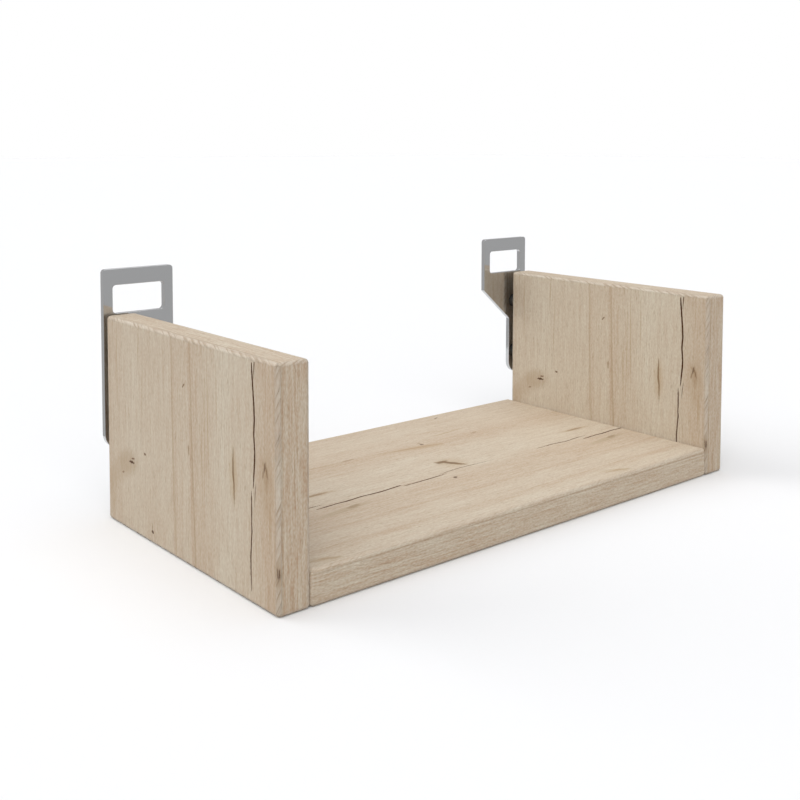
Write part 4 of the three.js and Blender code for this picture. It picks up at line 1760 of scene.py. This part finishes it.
@dataclass
class Hardware:
    """The plates and every fitting that shows, or could if the shelf were taken apart."""

    screw_columns: float = 455.0
    screw_rows: tuple[float, float] = (75.0, 129.0)
    plate_front: float = 120.25
    plate_back: float = 124.75
    side_back: float = 115.25
    screw_length: float = 24.0
    screw_radius: float = 3.0
    screw_tip: float = 0.4  # chamfer
    head_radius: float = 6.0
    head_height: float = 3.4
    head_land: float = 0.4  # straight part of the head, with its broken edge
    head_edge: float = 0.15
    driver: CentreHole = CentreHole(6, 2.31, -2.2, 1.0)
    sleeve_radius: float = 7.0
    sleeve_edge: float = 0.3
    sleeve_bore: float = 3.2
    sleeve_bore_sides: int = 32
    margin: float = 1.0  # how far a cutter stands out of the sleeve
    cam_columns: float = 362.0
    cam_rows: tuple[float, float] = (-84.75, 80.25)
    cap_height: float = 0.3  # of its face above the floor
    cap_profile: tuple[tuple[float, float], ...] = ((6.9, 0.0), (7.15, 0.08), (7.3, 0.3), (7.3, 1.2))

    def _names(self, ending: str, parts: tuple[str, str]) -> tuple[str, ...]:
        """CAD node names of four fittings."""
        return tuple(f"{hand.name.lower()}_{part}_{ending}" for hand in Hand for part in parts)

    def fittings(self) -> list[tuple[FittingGrid, MetalFinish | MatrixFinish]]:
        """Lists the fittings that come in fours.

        Returns:
            Each four with its finish.
        """
        low, high = self.screw_rows
        spacing, middle = (self.screw_columns, high - low), (low + high) / 2
        screws = FittingGrid(
            name="plate_screws", slot=Slot.ZINC, nodes=self._names("plate_screw", ("lower", "upper")),
            profile=(
                (self.screw_radius - self.screw_tip, -self.screw_length),
                (self.screw_radius, -self.screw_length + self.screw_tip),
                (self.screw_radius, -self.head_height), (self.head_radius, -self.head_land),
                (self.head_radius, -self.head_edge), (self.head_radius - self.head_edge, 0.0),
            ),
            spacing=spacing, centre=(0.0, self.plate_back, middle), upright=True, hole=self.driver,
        )
        depth, end = self.plate_front - self.side_back, self.sleeve_radius - self.sleeve_edge
        sleeves = FittingGrid(
            name="spacer_sleeves", slot=Slot.ZINC, nodes=self._names("spacer_sleeve", ("lower", "upper")),
            profile=(
                (end, 0.0), (self.sleeve_radius, self.sleeve_edge),
                (self.sleeve_radius, depth - self.sleeve_edge), (end, depth),
            ),
            spacing=spacing, centre=(0.0, self.side_back, middle), upright=True,
            hole=CentreHole(self.sleeve_bore_sides, self.sleeve_bore, -self.margin, depth + self.margin),
        )
        front, back = self.cam_rows
        caps = FittingGrid(
            name="cover_caps", slot=Slot.CAP, nodes=self._names("cover_cap", ("front", "back")),
            profile=self.cap_profile, spacing=(self.cam_columns, back - front),
            centre=(0.0, (front + back) / 2, self.cap_height),
        )
        return [(screws, ZINC_PLATE), (sleeves, DULL_ZINC), (caps, CAP_PLASTIC)]

    def build(self) -> list[bpy.types.Object]:
        """Makes the plates and the fittings, and dresses the CAD nodes that stay.

        Returns:
            The objects of the plates and the fittings.
        """
        pieces = [HangerPlate(hand).build(POLISHED_STEEL.material()) for hand in Hand]
        pieces += [grid.build(finish.material()) for grid, finish in self.fittings()]
        stays = {
            "threaded_insert": BRASS, "cam_housing": CAST_ZINC, "cam_bolt": ZINC_PLATE, "dowel": BEECH,
        }
        for ending, finish in stays.items():
            for name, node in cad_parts.items():
                if name.endswith(ending):
                    node.data.materials.clear()
                    node.data.materials.append(finish.material())
            log.info("%s dressed as %s", ending, finish.name)
        return pieces


# Stage


@dataclass(frozen=True)
class Lamp:
    """A large soft lamp, far away."""

    name: str
    towards: Point  # from the shelf to the lamp
    light: float  # what it adds on a surface that faces it, where 1 shows a colour as written
    spread: float = 60.0  # degrees
    tint: Point = (1.0, 1.0, 1.0)

    def build(self) -> None:
        """Adds the lamp to the scene."""
        data = bpy.data.lights.new(self.name, "SUN")
        data.energy = self.light * math.pi
        data.angle = math.radians(self.spread)
        data.color = self.tint
        lamp = put(self.name, data)
        lamp.rotation_euler = Vector(self.towards).to_track_quat("Z", "Y").to_euler()


@dataclass
class Studio:
    """A pale floor, an even light all round and three soft lamps."""

    sky: float = 0.42
    lamps: tuple[Lamp, ...] = (
        Lamp("top_lamp", (0.0, 0.0, 1.0), 0.35, tint=(0.985, 1.0, 1.045)),
        Lamp("front_left_lamp", (-0.52, -0.68, 0.6), 0.41),
        Lamp("back_left_lamp", (-0.57, 0.81, 0.61), 0.29, 44.0),
    )
    floor_size: float = 40.0  # metres
    floor_white: float = 0.865
    floor_bounce: float = 0.6
    card_radius: float = 0.42  # metres
    card_height: float = 0.75  # metres
    card_grey: float = 0.56
    card_sides: int = 96

    def build(self) -> None:
        """Sets up the stage."""
        self._world()
        self._floor()
        self._card()
        for lamp in self.lamps:
            lamp.build()

    def _seen(self, tree: Tree) -> Socket:
        """Finds the rays that show the background: camera, glossy and transmission rays.

        A glossy ray that only lights a matt surface, such as the wood behind a plate, shows nothing of it.

        Args:
            tree: the node tree.

        Returns:
            1 for such a ray and 0 for any other.
        """
        path = add(tree, "ShaderNodeLightPath").node.outputs
        direct = add(tree, MATHS, (path["Diffuse Depth"], 0.5), operation="LESS_THAN")
        mirrored = add(tree, MATHS, (path["Is Glossy Ray"], direct), operation="MULTIPLY")
        shown = add(tree, MATHS, (path["Is Camera Ray"], mirrored), operation="MAXIMUM")
        return add(tree, MATHS, (shown, path["Is Transmission Ray"]), operation="MAXIMUM")

    def _world(self) -> None:
        """White where it is seen, and a plain level of light."""
        world = bpy.data.worlds.new("studio")
        world.use_nodes = True
        tree = world.node_tree
        tree.nodes.clear()
        lighting, white = (
            add(tree, "ShaderNodeBackground", {"Color": (1, 1, 1, 1), "Strength": level})
            for level in (self.sky, 1.0)
        )
        mix = add(tree, "ShaderNodeMixShader", (self._seen(tree), lighting, white))
        add(tree, "ShaderNodeOutputWorld", {"Surface": mix})
        bpy.context.scene.world = world

    def _floor(self) -> None:
        """A white floor that keeps the shelf's soft shadow. It throws back less light than it shows."""
        material, tree = new_material("studio_floor")
        bounce, white = (
            add(tree, "ShaderNodeBsdfDiffuse", {"Color": (level, level, level, 1)})
            for level in (self.floor_bounce, self.floor_white)
        )
        mix = add(tree, "ShaderNodeMixShader", (self._seen(tree), bounce, white))
        add(tree, SURFACE, (mix,))
        reach = self.floor_size / 2
        points = [(-reach, -reach, 0), (reach, -reach, 0), (reach, reach, 0), (-reach, reach, 0)]
        floor = self._sheet("floor", points, [(0, 1, 2, 3)], material)

    def _card(self) -> None:
        """A low grey card round the shelf that only glossy surfaces see, so that the steel reads as steel."""
        material, tree = new_material("grey_card")
        colour = (self.card_grey, self.card_grey, self.card_grey, 1)
        glow = add(tree, "ShaderNodeEmission", {"Color": colour, "Strength": 1.0})
        add(tree, SURFACE, (glow,))
        count = self.card_sides
        turns = [2 * math.pi * i / count for i in range(count)]
        points = [
            (self.card_radius * math.cos(a), self.card_radius * math.sin(a), z)
            for z in (0.0, self.card_height) for a in turns
        ]
        faces = [(i, (i + 1) % count, (i + 1) % count + count, i + count) for i in range(count)]
        card = self._sheet("grey_card", points, faces, material)
        card.visible_camera = card.visible_diffuse = card.visible_shadow = card.visible_transmission = False

    def _sheet(self, name: str, points: list[Point], faces: list, material: Material) -> bpy.types.Object:
        """Puts a thin sheet on the stage.

        Args:
            name: the sheet's name.
            points: its corners, in metres.
            faces: the corners of each face.
            material: its material.

        Returns:
            The object.
        """
        mesh = bpy.data.meshes.new(name)
        mesh.from_pydata(points, [], faces)
        mesh.materials.append(material)
        return put(name, mesh)


@dataclass
class PhotoCamera:
    """The camera at the photograph's viewing angle."""

    focal: float = 1081.0  # pixels
    picture: float = 800.0  # pixels
    sensor: float = 36.0
    reach: tuple[float, float] = (0.01, 100.0)  # metres
    shift: float = -0.24
    place: Point = (-604.7, -674.75, 295.8)
    yaw: float = 40.10  # from +Y towards +X
    pitch: float = 3.42  # downwards
    roll: float = -0.08

    def build(self) -> None:
        """Makes the camera and gives it to the scene."""
        camera = bpy.data.cameras.new("photo_camera")
        camera.sensor_width = self.sensor
        camera.lens = self.focal * camera.sensor_width / self.picture
        camera.shift_y = self.shift
        camera.clip_start, camera.clip_end = self.reach
        yaw, pitch, roll = (math.radians(angle) for angle in (self.yaw, self.pitch, self.roll))
        level = math.cos(pitch)
        forward = Vector((math.sin(yaw) * level, math.cos(yaw) * level, -math.sin(pitch)))
        turn = forward.to_track_quat("-Z", "Y").to_matrix() @ Matrix.Rotation(-roll, 3, "Z")
        eye = put("photo_camera", camera)
        eye.rotation_euler = turn.to_euler()
        eye.location = Vector(self.place) * MM
        bpy.context.scene.camera = eye


def main() -> None:
    """Builds the shelf, its hardware, the stage and the camera."""
    logging.basicConfig(level=logging.INFO, format="%(name)s %(message)s")
    bpy.context.scene.view_settings.view_transform = "Standard"
    PhotoCamera().build()
    for piece in (*Carcass().build(), *Hardware().build()):
        log.info("%s: %d faces", piece.name, len(piece.data.polygons))
    Studio().build()


if __name__ == "__main__":
    main()
